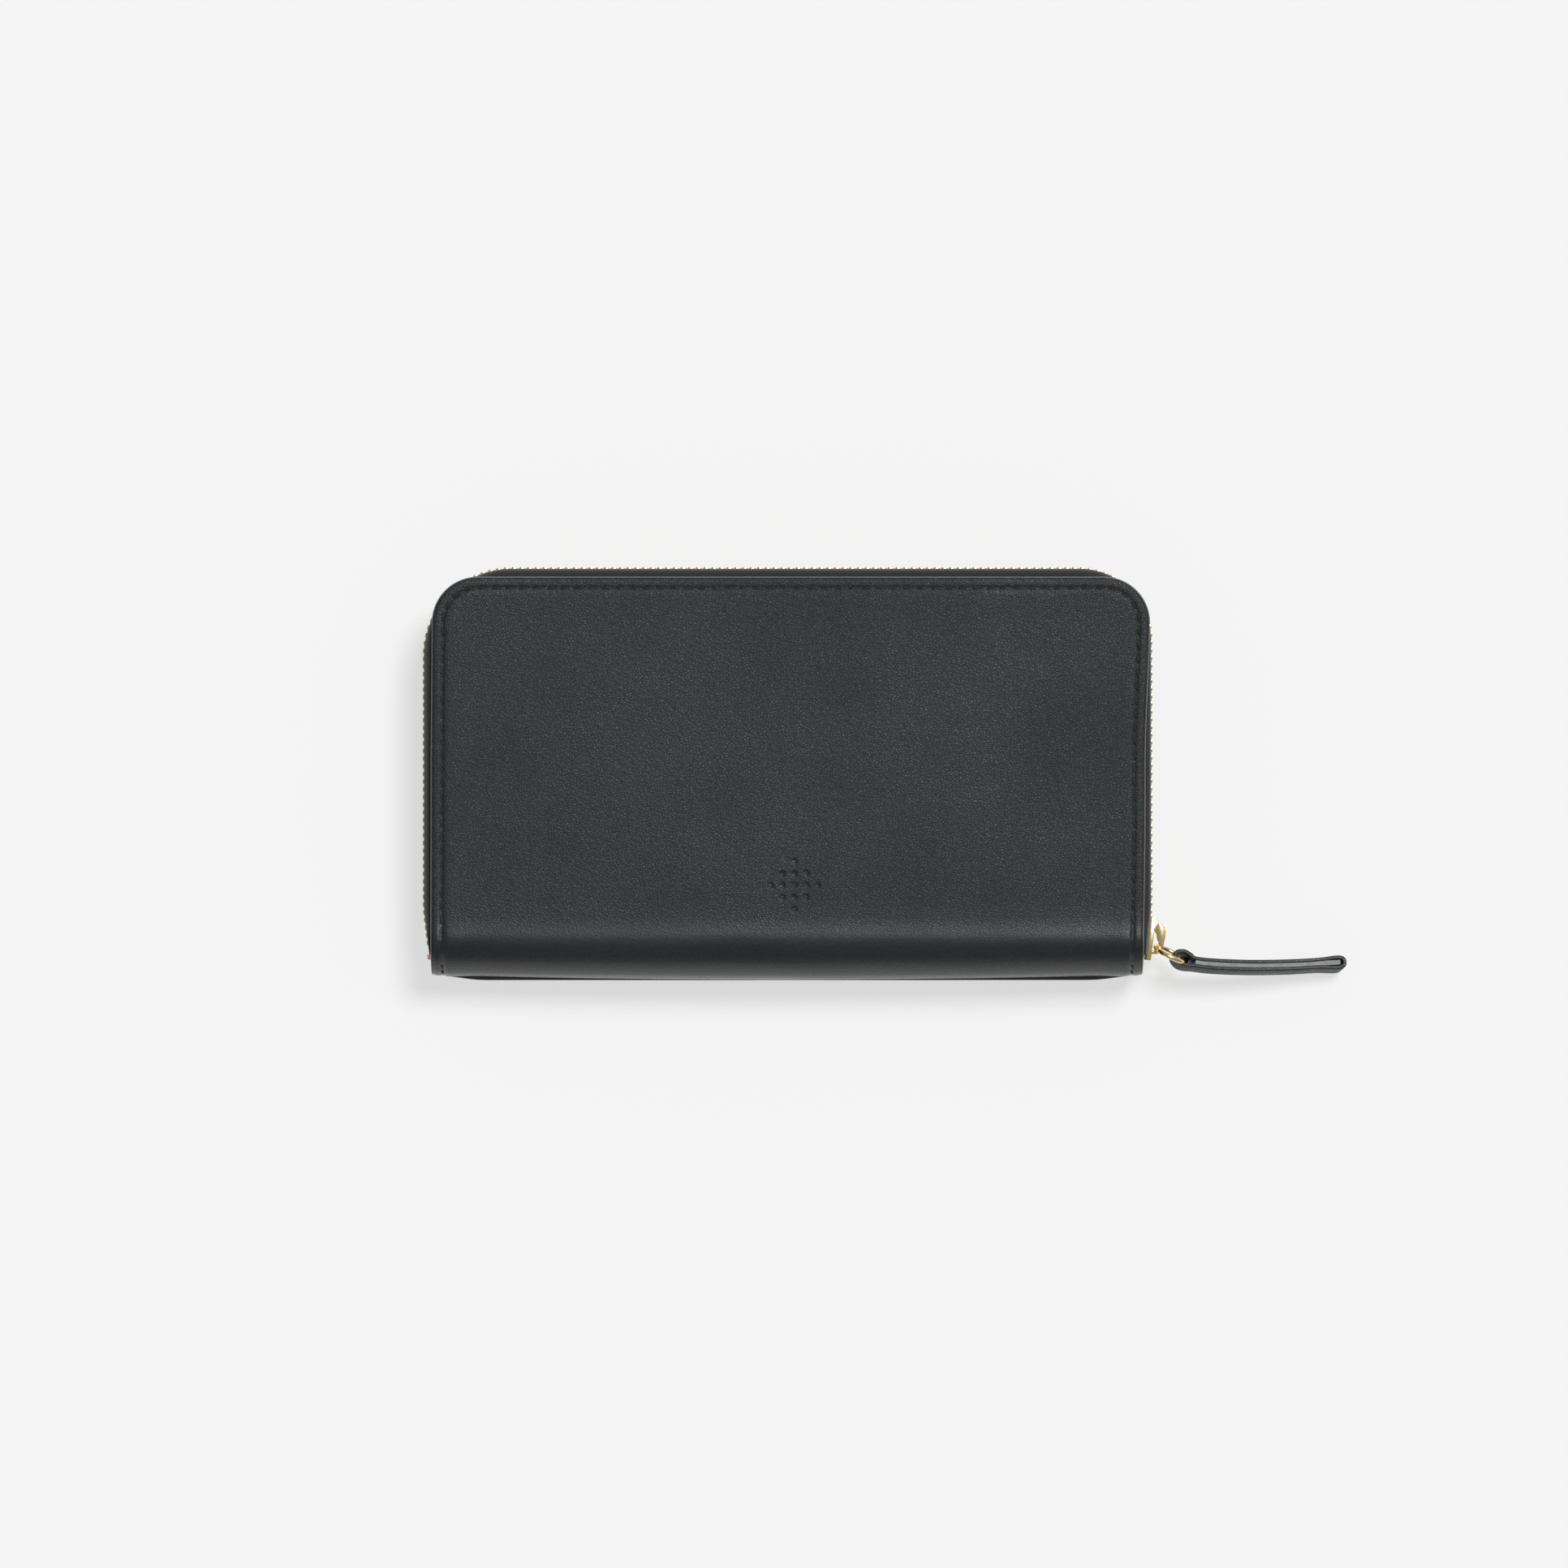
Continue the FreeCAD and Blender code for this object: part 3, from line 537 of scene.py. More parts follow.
@dataclass(frozen=True)
class Wrap:
    """Turns flat leather coordinates into places on one half of the closed wallet.

    A flat point is (x along the spine, s from the free edge, h above the outer face).
    """

    plan: Plan
    side: Side
    upper_reach: float = 11.0
    lower_reach: float = 12.5

    @property
    def quarter(self) -> float:
        """Length of leather from the start of the bend to the middle of the spine."""
        return math.pi / 2 * self.plan.middle

    @property
    def end(self) -> float:
        """Flat length from the free edge to the middle of the spine."""
        return self.plan.flat + self.quarter

    def reach(self, x: float) -> float:
        """How far the bend stands out: the back lobe is fuller, and both meet at the sewn ends.

        Args:
            x: Place along the spine.

        Returns:
            Distance from the start of the bend.
        """
        if self.side is Side.FRONT:
            return self.upper_reach
        fullness = step((self.plan.half_width - abs(x)) / 14.0)
        return self.upper_reach + 0.1 + (self.lower_reach - self.upper_reach - 0.1) * fullness

    def place(self, x: float, s: float, h: float) -> Vector:
        """Place of a flat point, in millimetres.

        Args:
            x: Place along the spine.
            s: Distance from the free edge.
            h: Height above the outer face.

        Returns:
            The place in the wallet.
        """
        plan = self.plan
        drift = 0.75 * step((s - 8.0) / 42.0) + 0.25 * step((s - 62.0) / 40.0)
        across = x - drift * (1.0 + 0.65 * x / plan.half_width)
        if s <= plan.flat:
            y, out = plan.far - s, plan.middle
            lean = Vector((0.0, 0.0, 1.0))
        else:
            turn = (s - plan.flat) / plan.middle
            reach = self.reach(x)
            y = plan.spine_y - reach * math.sin(turn)
            out = plan.middle * math.cos(turn)
            lean = Vector((0.0, -math.sin(turn) / reach, math.cos(turn) / plan.middle)).normalized()
        point = Vector((across, y, out)) + lean * h
        point.z = plan.middle + point.z * self.side.value
        return point

    def normal(self, x: float, s: float) -> Vector:
        """Outward direction at a flat point."""
        return (self.place(x, s, 1.0) - self.place(x, s, 0.0)).normalized()


def eased(points: Sequence[Vector], samples: int) -> list[Vector]:
    """A smooth line from the second of some points to the last but one.

    Args:
        points: Points that the line passes, with one more before its start and one after its end.
        samples: Number of places from one point to the next.

    Returns:
        Places along the line, without the end itself.
    """
    found = []
    for before, a, b, after in zip(points, points[1:], points[2:], points[3:]):
        for part in range(samples):
            t = part / samples
            found.append(0.5 * (
                2 * a + (b - before) * t + (2 * before - 5 * a + 4 * b - after) * t * t
                + (3 * a - before - 3 * b + after) * t ** 3
            ))
    return found


def eased_loop(points: Sequence[Vector], samples: int) -> list[Vector]:
    """A smooth closed line through points."""
    return eased([points[-1], *points, *points[:2]], samples)


def ahead_at(line: Sequence[Vector], index: int) -> Vector:
    """Forward direction of a line at one of its points."""
    return (line[min(index + 1, len(line) - 1)] - line[max(index - 1, 0)]).normalized()


def graded(length: float, edge: Sequence[float], spacing: float, fine: Sequence[tuple] = ()) -> list[float]:
    """Positions of grid lines that are dense at both ends and inside chosen windows.

    Args:
        length: Total length.
        edge: Distances of the dense lines from an end, from 0 up.
        spacing: Spacing in the middle.
        fine: Windows as (low, high, spacing).

    Returns:
        Sorted positions from 0 to length.
    """
    found = {round(value, 4) for value in edge} | {round(length - value, 4) for value in edge}
    spans = [(edge[-1], length - edge[-1], spacing), *fine]
    for low, high, pitch in spans:
        count = max(1, round((high - low) / pitch))
        for index in range(count + 1):
            value = low + (high - low) * index / count
            inside = any(a < value < b for a, b, _ in fine) and pitch == spacing
            if not inside:
                found.add(round(value, 4))
    kept: list[float] = []
    for value in sorted(found):
        if not kept or value - kept[-1] > 0.02:
            kept.append(value)
    return kept


def flat_grid(across: Sequence[float], down: Sequence[float]) -> bmesh.types.BMesh:
    """A grid with lines at given positions, with its positions kept in the UV layer 'flat'.

    Args:
        across: Positions along X.
        down: Positions along Y.

    Returns:
        The grid at height 0.
    """
    mesh = bmesh.new()
    bmesh.ops.create_grid(mesh, x_segments=len(across) - 1, y_segments=len(down) - 1, size=1.0)
    for vert in mesh.verts:
        column = round((vert.co.x + 1.0) / 2.0 * (len(across) - 1))
        row = round((vert.co.y + 1.0) / 2.0 * (len(down) - 1))
        vert.co = (across[column], down[row], 0.0)
    layer = mesh.loops.layers.uv.new("flat")
    for face in mesh.faces:
        for loop in face.loops:
            loop[layer].uv = loop.vert.co.xy
    return mesh


def thicken(mesh: bmesh.types.BMesh, top: float, bottom: float) -> None:
    """Give a flat grid two faces at heights top and bottom; side walls get material index 1.

    Args:
        mesh: The grid.
        top: Height of its raised copy.
        bottom: Height of the grid itself.
    """
    made = bmesh.ops.extrude_face_region(mesh, geom=mesh.faces[:], use_keep_orig=True)
    raised = {item for item in made["geom"] if isinstance(item, bmesh.types.BMVert)}
    for vert in mesh.verts:
        vert.co.z = top if vert in raised else bottom
    for face in mesh.faces:
        heights = {round(vert.co.z, 5) for vert in face.verts}
        face.material_index = 1 if len(heights) > 1 else 0


def publish(
    mesh: bmesh.types.BMesh,
    name: str,
    materials: Sequence[bpy.types.Material],
    sharp: float = 48.0,
) -> bpy.types.Object:
    """Turn a finished bmesh in millimetres into an object in metres.

    Args:
        mesh: The shape; it is freed.
        name: Piece name.
        materials: Materials by face index.
        sharp: Edges steeper than this many degrees stay crisp.

    Returns:
        The new object.
    """
    bmesh.ops.remove_doubles(mesh, verts=mesh.verts[:], dist=0.0005)
    bmesh.ops.recalc_face_normals(mesh, faces=mesh.faces[:])
    bmesh.ops.scale(mesh, vec=(MM, MM, MM), verts=mesh.verts[:])
    for face in mesh.faces:
        face.smooth = True
    data = bpy.data.meshes.new(name)
    mesh.to_mesh(data)
    mesh.free()
    data.set_sharp_from_angle(angle=math.radians(sharp))
    for material in materials:
        data.materials.append(material)
    item = bpy.data.objects.new(name, data)
    bpy.context.scene.collection.objects.link(item)
    LOG.info("%s: %d faces", name, len(data.polygons))
    return item


@dataclass
class RoundedSheet:
    """A sheet with two rounded free corners that lies on one half of the wallet."""

    wrap: Wrap
    half_width: float
    start: float
    end: float
    corner: float
    top: float
    bottom: float
    across: Sequence[float]
    down: Sequence[float]
    # Width of the band along the free edges whose top faces get the lighter edge paint copy, a painted
    # highlight; when 0 there is no band and the walls keep material index 1.
    lit_rim_width: float = 0.0
    pressed: Optional[Callable[[float, float], float]] = None

    def rounded(self, x: float, s: float) -> tuple[float, float]:
        """Move a point of the square-cornered grid to the rounded outline.

        Args:
            x: Place along the spine.
            s: Distance from the free edge.

        Returns:
            The moved x and s.
        """
        inner = self.half_width - self.corner
        p = (abs(x) - inner) / self.corner
        q = (self.start + self.corner - s) / self.corner
        radius = max(p, q)
        if p <= 0.0 or q <= 0.0 or radius <= 0.0:
            return x, s
        turn = math.pi / 4 * q / p if p >= q else math.pi / 2 - math.pi / 4 * p / q
        side = inner + self.corner * radius * math.cos(turn)
        return math.copysign(side, x), self.start + self.corner - self.corner * radius * math.sin(turn)

    def inward(self, x: float, s: float) -> float:
        """Distance from the three free edges."""
        return min(self.half_width - abs(x), s - self.start)

    def along(self, x: float, s: float) -> float:
        """Distance along the seam from the middle of the free edge.

        Args:
            x: Place along the spine.
            s: Distance from the free edge.

        Returns:
            The distance, the same on the left and the right.
        """
        inner = self.half_width - self.corner
        p = abs(x) - inner
        q = self.start + self.corner - s
        arc = (self.corner - SEAM_INSET) * math.pi / 2
        if p > 0.0 and q > 0.0:
            turn = math.pi / 4 * q / p if p >= q else math.pi / 2 - math.pi / 4 * p / q
            return inner + arc * (1.0 - turn / (math.pi / 2))
        if p > 0.0 and self.half_width - abs(x) < s - self.start:
            return inner + arc - q
        return abs(x)

    def build(self, relief: Callable[[float, float], float]) -> bmesh.types.BMesh:
        """Make the sheet.

        Args:
            relief: Extra height of the outer face at a flat point.

        Returns:
            The shape in millimetres, with UV layers 'flat' and 'seam'.
        """
        mesh = flat_grid(self.across, self.down)
        layer = mesh.loops.layers.uv.new("seam")
        for face in mesh.faces:
            for loop in face.loops:
                x, s = loop.vert.co.xy
                loop[layer].uv = (self.along(x, s), self.inward(x, s))
        thicken(mesh, self.top, self.bottom)
        for face in mesh.faces:
            middle = face.calc_center_median()
            # Side walls get the edge paint's own dark colour (index 3); top faces near a free edge get the
            # lighter copy (index 1), a painted highlight along the rim.
            if self.lit_rim_width and face.material_index == 1:
                face.material_index = 3
            elif self.inward(middle.x, middle.y) < self.lit_rim_width:
                face.material_index = 1
            elif self.pressed and middle.z == self.top and self.pressed(middle.x, middle.y) > 0.12:
                face.material_index = 2
        for vert in mesh.verts:
            x, s, h = vert.co
            lift = relief(x, s) if h == self.top else 0.0
            vert.co = self.wrap.place(*self.rounded(x, s), h + lift)
        return mesh


def centred(lines: Sequence[float], half: float) -> list[float]:
    """Grid lines shifted so that they run from -half to half."""
    return [value - half for value in lines]


def fold_blend(item: bpy.types.Object, side: Side) -> None:
    """Bake a piece's placement into its mesh; the joint of the fold between the spine and one cover is
    looked up but not used.

    Args:
        item: The piece.
        side: The cover.
    """
    joint = joint_of("child", "spine" if side is Side.BACK else "front")
    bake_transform(item)


# ---------------------------------------------------------------- leather covers


@dataclass
class Cover:
    """One half of the outer leather: a cover, and the spine up to its middle crease."""

    plan: Plan
    side: Side
    finishes: Finishes
    leather: float = 1.4
    ornament_x: float = 1.7
    ornament_y: float = -27.8
    ornament_half: float = 7.6
    dot_pitch: float = 3.1
    dot_radius: float = 1.05
    dot_depth: float = 0.3
    ridge: float = 0.62
    crown: float = 1.5
    crown_from_edge: float = 76.0
    lay: float = 0.1
    edge_round: float = 0.4
    lip_round: float = 1.1
    crease_depth: float = 0.16
    seam_sink: float = 0.13
    rim_swell: float = 0.14
    board_step: float = 0.26
    wave: float = 0.16
    ripple: float = 0.035

    def __post_init__(self) -> None:
        """Lay out the sheet's grid."""
        self.wrap = Wrap(self.plan, self.side)
        self.ornament_s = self.plan.far - self.ornament_y
        half = self.plan.half_width
        edge = (
            0.0, 0.05, 0.14, 0.27, 0.4, 0.5, 0.6, 0.75, 1.1, 1.6, 2.1, 2.4, 2.6, 2.75, 2.9, 3.05, 3.2, 3.4,
            3.7, 4.1, 4.7, 5.5, 6.6, 8.2, 10.0, 12.0
        )
        fine_x = fine_s = ()
        if self.side is Side.FRONT:
            window = self.ornament_half + 0.6
            fine_x = ((half + self.ornament_x - window, half + self.ornament_x + window, 0.26),)
            fine_s = ((self.ornament_s - window, self.ornament_s + window, 0.26),)
        spine = (self.plan.flat - 4.0, self.wrap.end - 2.4, 0.8)
        lines = graded(2 * half, edge, 2.6, fine_x)
        tail = [self.wrap.end - value for value in (1.9, 1.4, 1.0, 0.7, 0.45, 0.25, 0.1, 0.0)]
        body = graded(self.plan.flat + 20.0, edge, 2.4, (*fine_s, spine))
        body = [value for value in body if value < self.wrap.end - 2.3]
        self.sheet = RoundedSheet(
            self.wrap, half, 0.0, self.wrap.end, self.plan.corner, 0.0, -self.leather,
            centred(lines, half), body + tail, 0.28,
            self.dimples if self.side is Side.FRONT else None
        )

    def dimples(self, x: float, s: float) -> float:
        """Depth of the blind ornament, a lozenge of round dots.

        Args:
            x: Place along the spine.
            s: Distance from the free edge.

        Returns:
            Depth below the leather's face.
        """
        u = (x - self.ornament_x) / self.dot_pitch
        v = (s - self.ornament_s) / self.dot_pitch
        column, row = round(u), round(v)
        if abs(column) + abs(row) > 2:
            return 0.0
        distance = math.hypot(u - column, v - row) * self.dot_pitch
        return self.dot_depth * step((self.dot_radius - distance) / 0.55)

    def relief(self, x: float, s: float) -> float:
        """Height of the outer face over its flat base.

        Args:
            x: Place along the spine.
            s: Distance from the free edge.

        Returns:
            The height.
        """
        inward = self.sheet.inward(x, s)
        tail = self.wrap.end - s
        lift = -rounding(inward, self.edge_round) - rounding(tail, self.lip_round)
        lift -= self.crease_depth * hump(inward, 0.55, 0.1)
        lift -= self.seam_sink * hump(inward, SEAM_INSET, 0.28)
        lift += self.rim_swell * hump(inward, 1.7, 0.7)
        raise_in = step((inward - SEAM_INSET) / 1.5)
        lift += self.board_step * raise_in * (1.0 - 0.7 * step((inward - 4.2) / 8.0))
        bend = s - self.plan.flat
        raised = 1.0 if self.side is Side.FRONT else 0.0
        lift += raised * self.ridge * step((bend + 4.0) / 8.0) * (1.0 - step((bend - 3.5) / 9.0))
        calm = step((inward - 3.0) / 12.0)
        wave = noise.noise(Vector((x / 46.0, s / 30.0, 3.1 * self.side.value)))
        small = noise.noise(Vector((x / 13.0, s / 11.0, 7.7)))
        lift += (self.wave * wave + self.ripple * small) * calm
        aside = x / self.plan.half_width
        behind = (s - self.crown_from_edge) / self.crown_from_edge
        lift += raised * self.crown * max(0.0, 1.0 - aside * aside) * max(0.0, 1.0 - behind * behind)
        if self.side is Side.BACK:
            return min(lift * 0.4 - self.lay, -0.02)
        return lift - self.dimples(x, s)

    def build(self) -> None:
        """Make the leather and its stitches."""
        name = self.side.body
        leather = publish(
            self.sheet.build(self.relief), name + "_outer_leather",
            (self.finishes.cover, self.finishes.edge, self.finishes.pressed, self.finishes.wall)
        )
        nodes = ["%s_cover" % name] + (["spine_cover"] if self.side is Side.FRONT else [])
        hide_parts(*nodes)
        fold_blend(leather, self.side)
        thread = publish(self.stitches(), name + "_seam_thread", (self.finishes.thread,))
        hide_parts(name + "_seam_stitching")
        fold_blend(thread, self.side)

    def seam_point(self, along: float) -> tuple[float, float]:
        """Flat point of the seam at a distance from the middle of the free edge; left is negative.

        Args:
            along: The distance.

        Returns:
            The point's x and s.
        """
        inner = self.plan.half_width - self.plan.corner
        radius = self.plan.corner - SEAM_INSET
        arc = radius * math.pi / 2
        distance = abs(along)
        if distance <= inner:
            point = (distance, SEAM_INSET)
        elif distance <= inner + arc:
            turn = (distance - inner) / radius
            point = (inner + radius * math.sin(turn), self.plan.corner - radius * math.cos(turn))
        else:
            point = (self.plan.half_width - SEAM_INSET, self.plan.corner + distance - inner - arc)
        return math.copysign(point[0], along), point[1]

    def stitches(self) -> bmesh.types.BMesh:
        """Slanted stitches, each one a short drop of thread that dives into the leather."""
        inner = self.plan.half_width - self.plan.corner
        arc = (self.plan.corner - SEAM_INSET) * math.pi / 2
        reach = inner + arc + self.wrap.end - self.plan.corner - 1.2
        count = int(reach / SEAM_PITCH)
        height = 0.02 if self.side is Side.FRONT else -0.3
        mesh = bmesh.new()
        for index in range(-count, count + 1):
            along = (index + 0.5) * SEAM_PITCH
            if abs(along) > reach:
                continue
            ahead = self.wrap.place(*self.seam_point(along + 0.2), 0.0)
            behind = self.wrap.place(*self.seam_point(along - 0.2), 0.0)
            x, s = self.seam_point(along)
            up = self.wrap.normal(x, s)
            doubled = 1.6 if -6.0 < s - self.plan.flat < 0.0 else 1.0
            forward = (ahead - behind).normalized()
            forward = (forward + up.cross(forward) * 0.2 * self.side.value).normalized()
            sideways = up.cross(forward).normalized()
            turn = Matrix((forward, sideways, up)).transposed().to_4x4()
            centre = self.wrap.place(x, s, height)
            shape = Matrix.Translation(centre) @ turn @ Matrix.Diagonal((1.22, 0.25 * doubled, 0.26, 1.0))
            bmesh.ops.create_uvsphere(mesh, u_segments=8, v_segments=6, radius=1.0, matrix=shape)
        return mesh


# ---------------------------------------------------------------- inside layers


@dataclass
class InsideLayers:
    """Lining, card panel and stepped card pockets of one cover."""

    plan: Plan
    side: Side
    finishes: Finishes
    lining_height: float = -2.1
    lining: float = 0.6
    card_leather: float = 0.5
    card_half: float = 84.0
    card_far: float = 42.0
    card_near: float = -36.0
    card_corner: float = 8.0
    pocket_step: float = 8.0
    lining_inset: float = 2.2
    lining_corner: float = 20.0
    board_inset: float = 7.0
    board_height: float = -1.45
    board: float = 0.6

    def __post_init__(self) -> None:
        """Keep the mapping."""
        self.wrap = Wrap(self.plan, self.side, upper_reach=11.0, lower_reach=12.0)

    def layer(
        self, half: float, start: float, end: float, corner: float, top: float, thin: float
    ) -> RoundedSheet:
        """A sheet inside the cover, whose free face looks into the wallet.

        Args:
            half: Half of its width.
            start: Where it starts, measured from the cover's free edge.
            end: Where it ends.
            corner: Radius of its two free corners.
            top: Height of its glued face.
            thin: Its thickness.

        Returns:
            The sheet, not yet built.
        """
        edge = (0.0, 0.1, 0.25, 0.5, 1.0, 1.6, 2.4, 3.6, 6.0)
        across = centred(graded(2 * half, edge, 4.0), half)
        down = [start + value for value in graded(end - start, edge, 2.0)]
        return RoundedSheet(self.wrap, half, start, end, corner, top, top - thin, across, down)

    def build(self) -> None:
        """Make every layer."""
        name = self.side.body
        lining = self.layer(
            self.plan.half_width - self.lining_inset, self.lining_inset, self.wrap.end, self.lining_corner,
            self.lining_height, self.lining
        )
        cloth = publish(
            lining.build(lambda x, s: 0.0), name + "_lining_cloth", (self.finishes.lining,) * 2
        )
        nodes = ["%s_lining" % name] + (["spine_lining"] if self.side is Side.FRONT else [])
        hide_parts(*nodes)
        2 * lining.half_width * MM
        (lining.end - lining.start) * MM
        fold_blend(cloth, self.side)
        strip = self.layer(
            self.plan.half_width - self.board_inset, self.plan.flat + 1.0, self.wrap.end - 0.6, 1.0,
            self.board_height, self.board
        )
        board = publish(
            strip.build(lambda x, s: 0.0), name + "_spine_board", (self.finishes.board,) * 2
        )
        if self.side is Side.FRONT:
            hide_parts("spine_interlining")
        fold_blend(board, self.side)
        self.cards()

    def cards(self) -> None:
        """Card panel with three stepped pockets and their stitching."""
        name = self.side.body
        face = self.lining_height - self.lining
        start = self.plan.far - self.card_far
        end = self.plan.far - self.card_near
        for number in range(4):
            top = face - number * self.card_leather - 0.02
            sheet = self.layer(
                self.card_half, start + number * self.pocket_step, end,
                self.card_corner if number == 0 else 1.2, top, self.card_leather - 0.04
            )
            mesh = sheet.build(lambda x, s: 0.0)
            for vert in mesh.verts:
                self.shape_pocket(vert, number)
            label = "card_panel" if number == 0 else "card_pocket_%d" % number
            node = "%s_%s" % (name, label)
            # The pockets' side walls get the lighter edge paint copy, which carries a painted highlight.
            piece = publish(mesh, node + "_leather", (self.finishes.inner, self.finishes.edge))
            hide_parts(node)
            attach(piece, name)
        stitches = self.card_stitches(face)
        thread = publish(stitches, name + "_card_thread", (self.finishes.thread,))
        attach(thread, name)

    def shape_pocket(self, vert: bmesh.types.BMVert, number: int) -> None:
        """Let a pocket's mouth stand a little open between its stitched lines.

        Args:
            vert: A point of the pocket.
            number: Which pocket; 0 is the panel behind them.
        """
        if number == 0:
            return
        mouth = self.card_far - number * self.pocket_step
        near = step(1.0 - (mouth - vert.co.y) / 9.0)
        between = abs(math.sin(math.pi * vert.co.x / self.card_half))
        vert.co.z -= self.side.value * 0.22 * near * between

    def card_stitches(self, face: float) -> bmesh.types.BMesh:
        """Stitch lines at the middle and both sides of the pockets.

        Args:
            face: Height of the lining's free face.

        Returns:
            All stitches.
        """
        mesh = bmesh.new()
        pitch = 3.0
        stitch = Matrix.Diagonal((0.22, 1.1, 0.16, 1.0))
        for x in (-self.card_half + 1.6, -0.8, 0.8, self.card_half - 1.6):
            for number in range(1, 4):
                mouth = self.card_far - number * self.pocket_step
                last = mouth - self.pocket_step if number < 3 else self.card_near + 2.0
                height = face - (number + 1) * self.card_leather - 0.05
                for index in range(int((mouth - last) / pitch)):
                    y = mouth - 0.9 - index * pitch
                    z = self.plan.middle + self.side.value * (self.plan.middle + height)
                    shape = Matrix.Translation((x, y - pitch / 2, z)) @ stitch
                    bmesh.ops.create_uvsphere(mesh, u_segments=6, v_segments=5, radius=1.0, matrix=shape)
        return mesh


# ---------------------------------------------------------------- main zip


@dataclass(frozen=True)
class ZipRoute:
    """Line of the chain: up the left side, along the free edge and down the right side."""

    left: float
    right: float
    far: float
    bend_y: float = -32.0
    left_corner: float = 22.0
    right_corner: float = 18.0
    end_turn: float = 7.0
    end_bend: float = 40.0
    lead: float = 9.0

    @classmethod
    def from_frame(cls) -> "ZipRoute":
        """Read the row of teeth's box; the route is in the middle of its thickness."""
        low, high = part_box("back_zip_teeth")
        half = 1.1
        return cls(low.x / MM + half, high.x / MM - half, high.y / MM - half)

    def steps(self) -> Iterator[tuple[float, float, float]]:
        """Straight length, then the radius and degrees of the right-hand turn after it."""
        yield self.lead, self.end_bend, self.end_turn
        yield self.far - self.left_corner - self.bend_y, self.left_corner, 90.0
        yield self.right - self.left - self.left_corner - self.right_corner, self.right_corner, 90.0
        yield self.far - self.right_corner - self.bend_y, self.end_bend, self.end_turn
        yield self.lead, 0.0, 0.0

    def length(self) -> float:
        """Whole length of the route."""
        return sum(run + math.radians(turn) * radius for run, radius, turn in self.steps())

    @staticmethod
    def ahead(heading: float) -> Vector:
        """Unit vector of a heading in degrees."""
        return Vector((math.cos(math.radians(heading)), math.sin(math.radians(heading)), 0.0))

    def at(self, distance: float) -> tuple[Vector, Vector]:
        """Point and forward direction at a distance from the left end.

        Args:
            distance: The distance along the route.

        Returns:
            The point and the direction.
        """
        heading = 90.0 + self.end_turn
        turn = math.radians(self.end_turn)
        aside = self.end_bend * (1.0 - math.cos(turn))
        point = Vector((self.left + aside, self.bend_y - self.end_bend * math.sin(turn), 0.0))
        point -= self.ahead(heading) * self.lead
        for run, radius, degrees in self.steps():
            if distance <= run or not radius:
                return point + self.ahead(heading) * distance, self.ahead(heading)
            distance -= run
            point = point + self.ahead(heading) * run
            arc = math.radians(degrees) * radius
            done = min(1.0, distance / arc) * degrees
            centre = point + self.ahead(heading - 90.0) * radius
            point = centre + self.ahead(heading + 90.0 - done) * radius
            if distance <= arc:
                return point, self.ahead(heading - done)
            distance -= arc
            heading -= degrees
        return point, self.ahead(heading)


def tooth_block() -> bpy.types.Mesh:
    """One metal tooth: a clamp with a rounded head, standing on +Z, with X along the chain."""
    mesh = bmesh.new()
    clamp = Matrix.Translation((0.0, 0.0, -0.95)) @ Matrix.Diagonal((1.22, 1.9, 1.5, 1.0))
    head = Matrix.Diagonal((0.85, 1.3, 0.9, 1.0))
    for block in (clamp, head):
        bmesh.ops.create_cube(mesh, size=1.0, matrix=block)
    bmesh.ops.bevel(
        mesh, geom=mesh.edges[:], offset=0.2, segments=2, profile=0.5, affect="EDGES", material=-1
    )
    data = bpy.data.meshes.new("tooth_block")
    mesh.to_mesh(data)
    mesh.free()
    return data


def row_of(template: bpy.types.Mesh, places: Sequence[Matrix]) -> bmesh.types.BMesh:
    """Copies of one small mesh at every place.

    Args:
        template: The small mesh.
        places: Where each copy goes.

    Returns:
        All copies in one shape.
    """
    mesh = bmesh.new()
    for place in places:
        before = len(mesh.verts)
        mesh.from_mesh(template)
        mesh.verts.ensure_lookup_table()
        bmesh.ops.transform(mesh, matrix=place, verts=mesh.verts[before:])
    return mesh


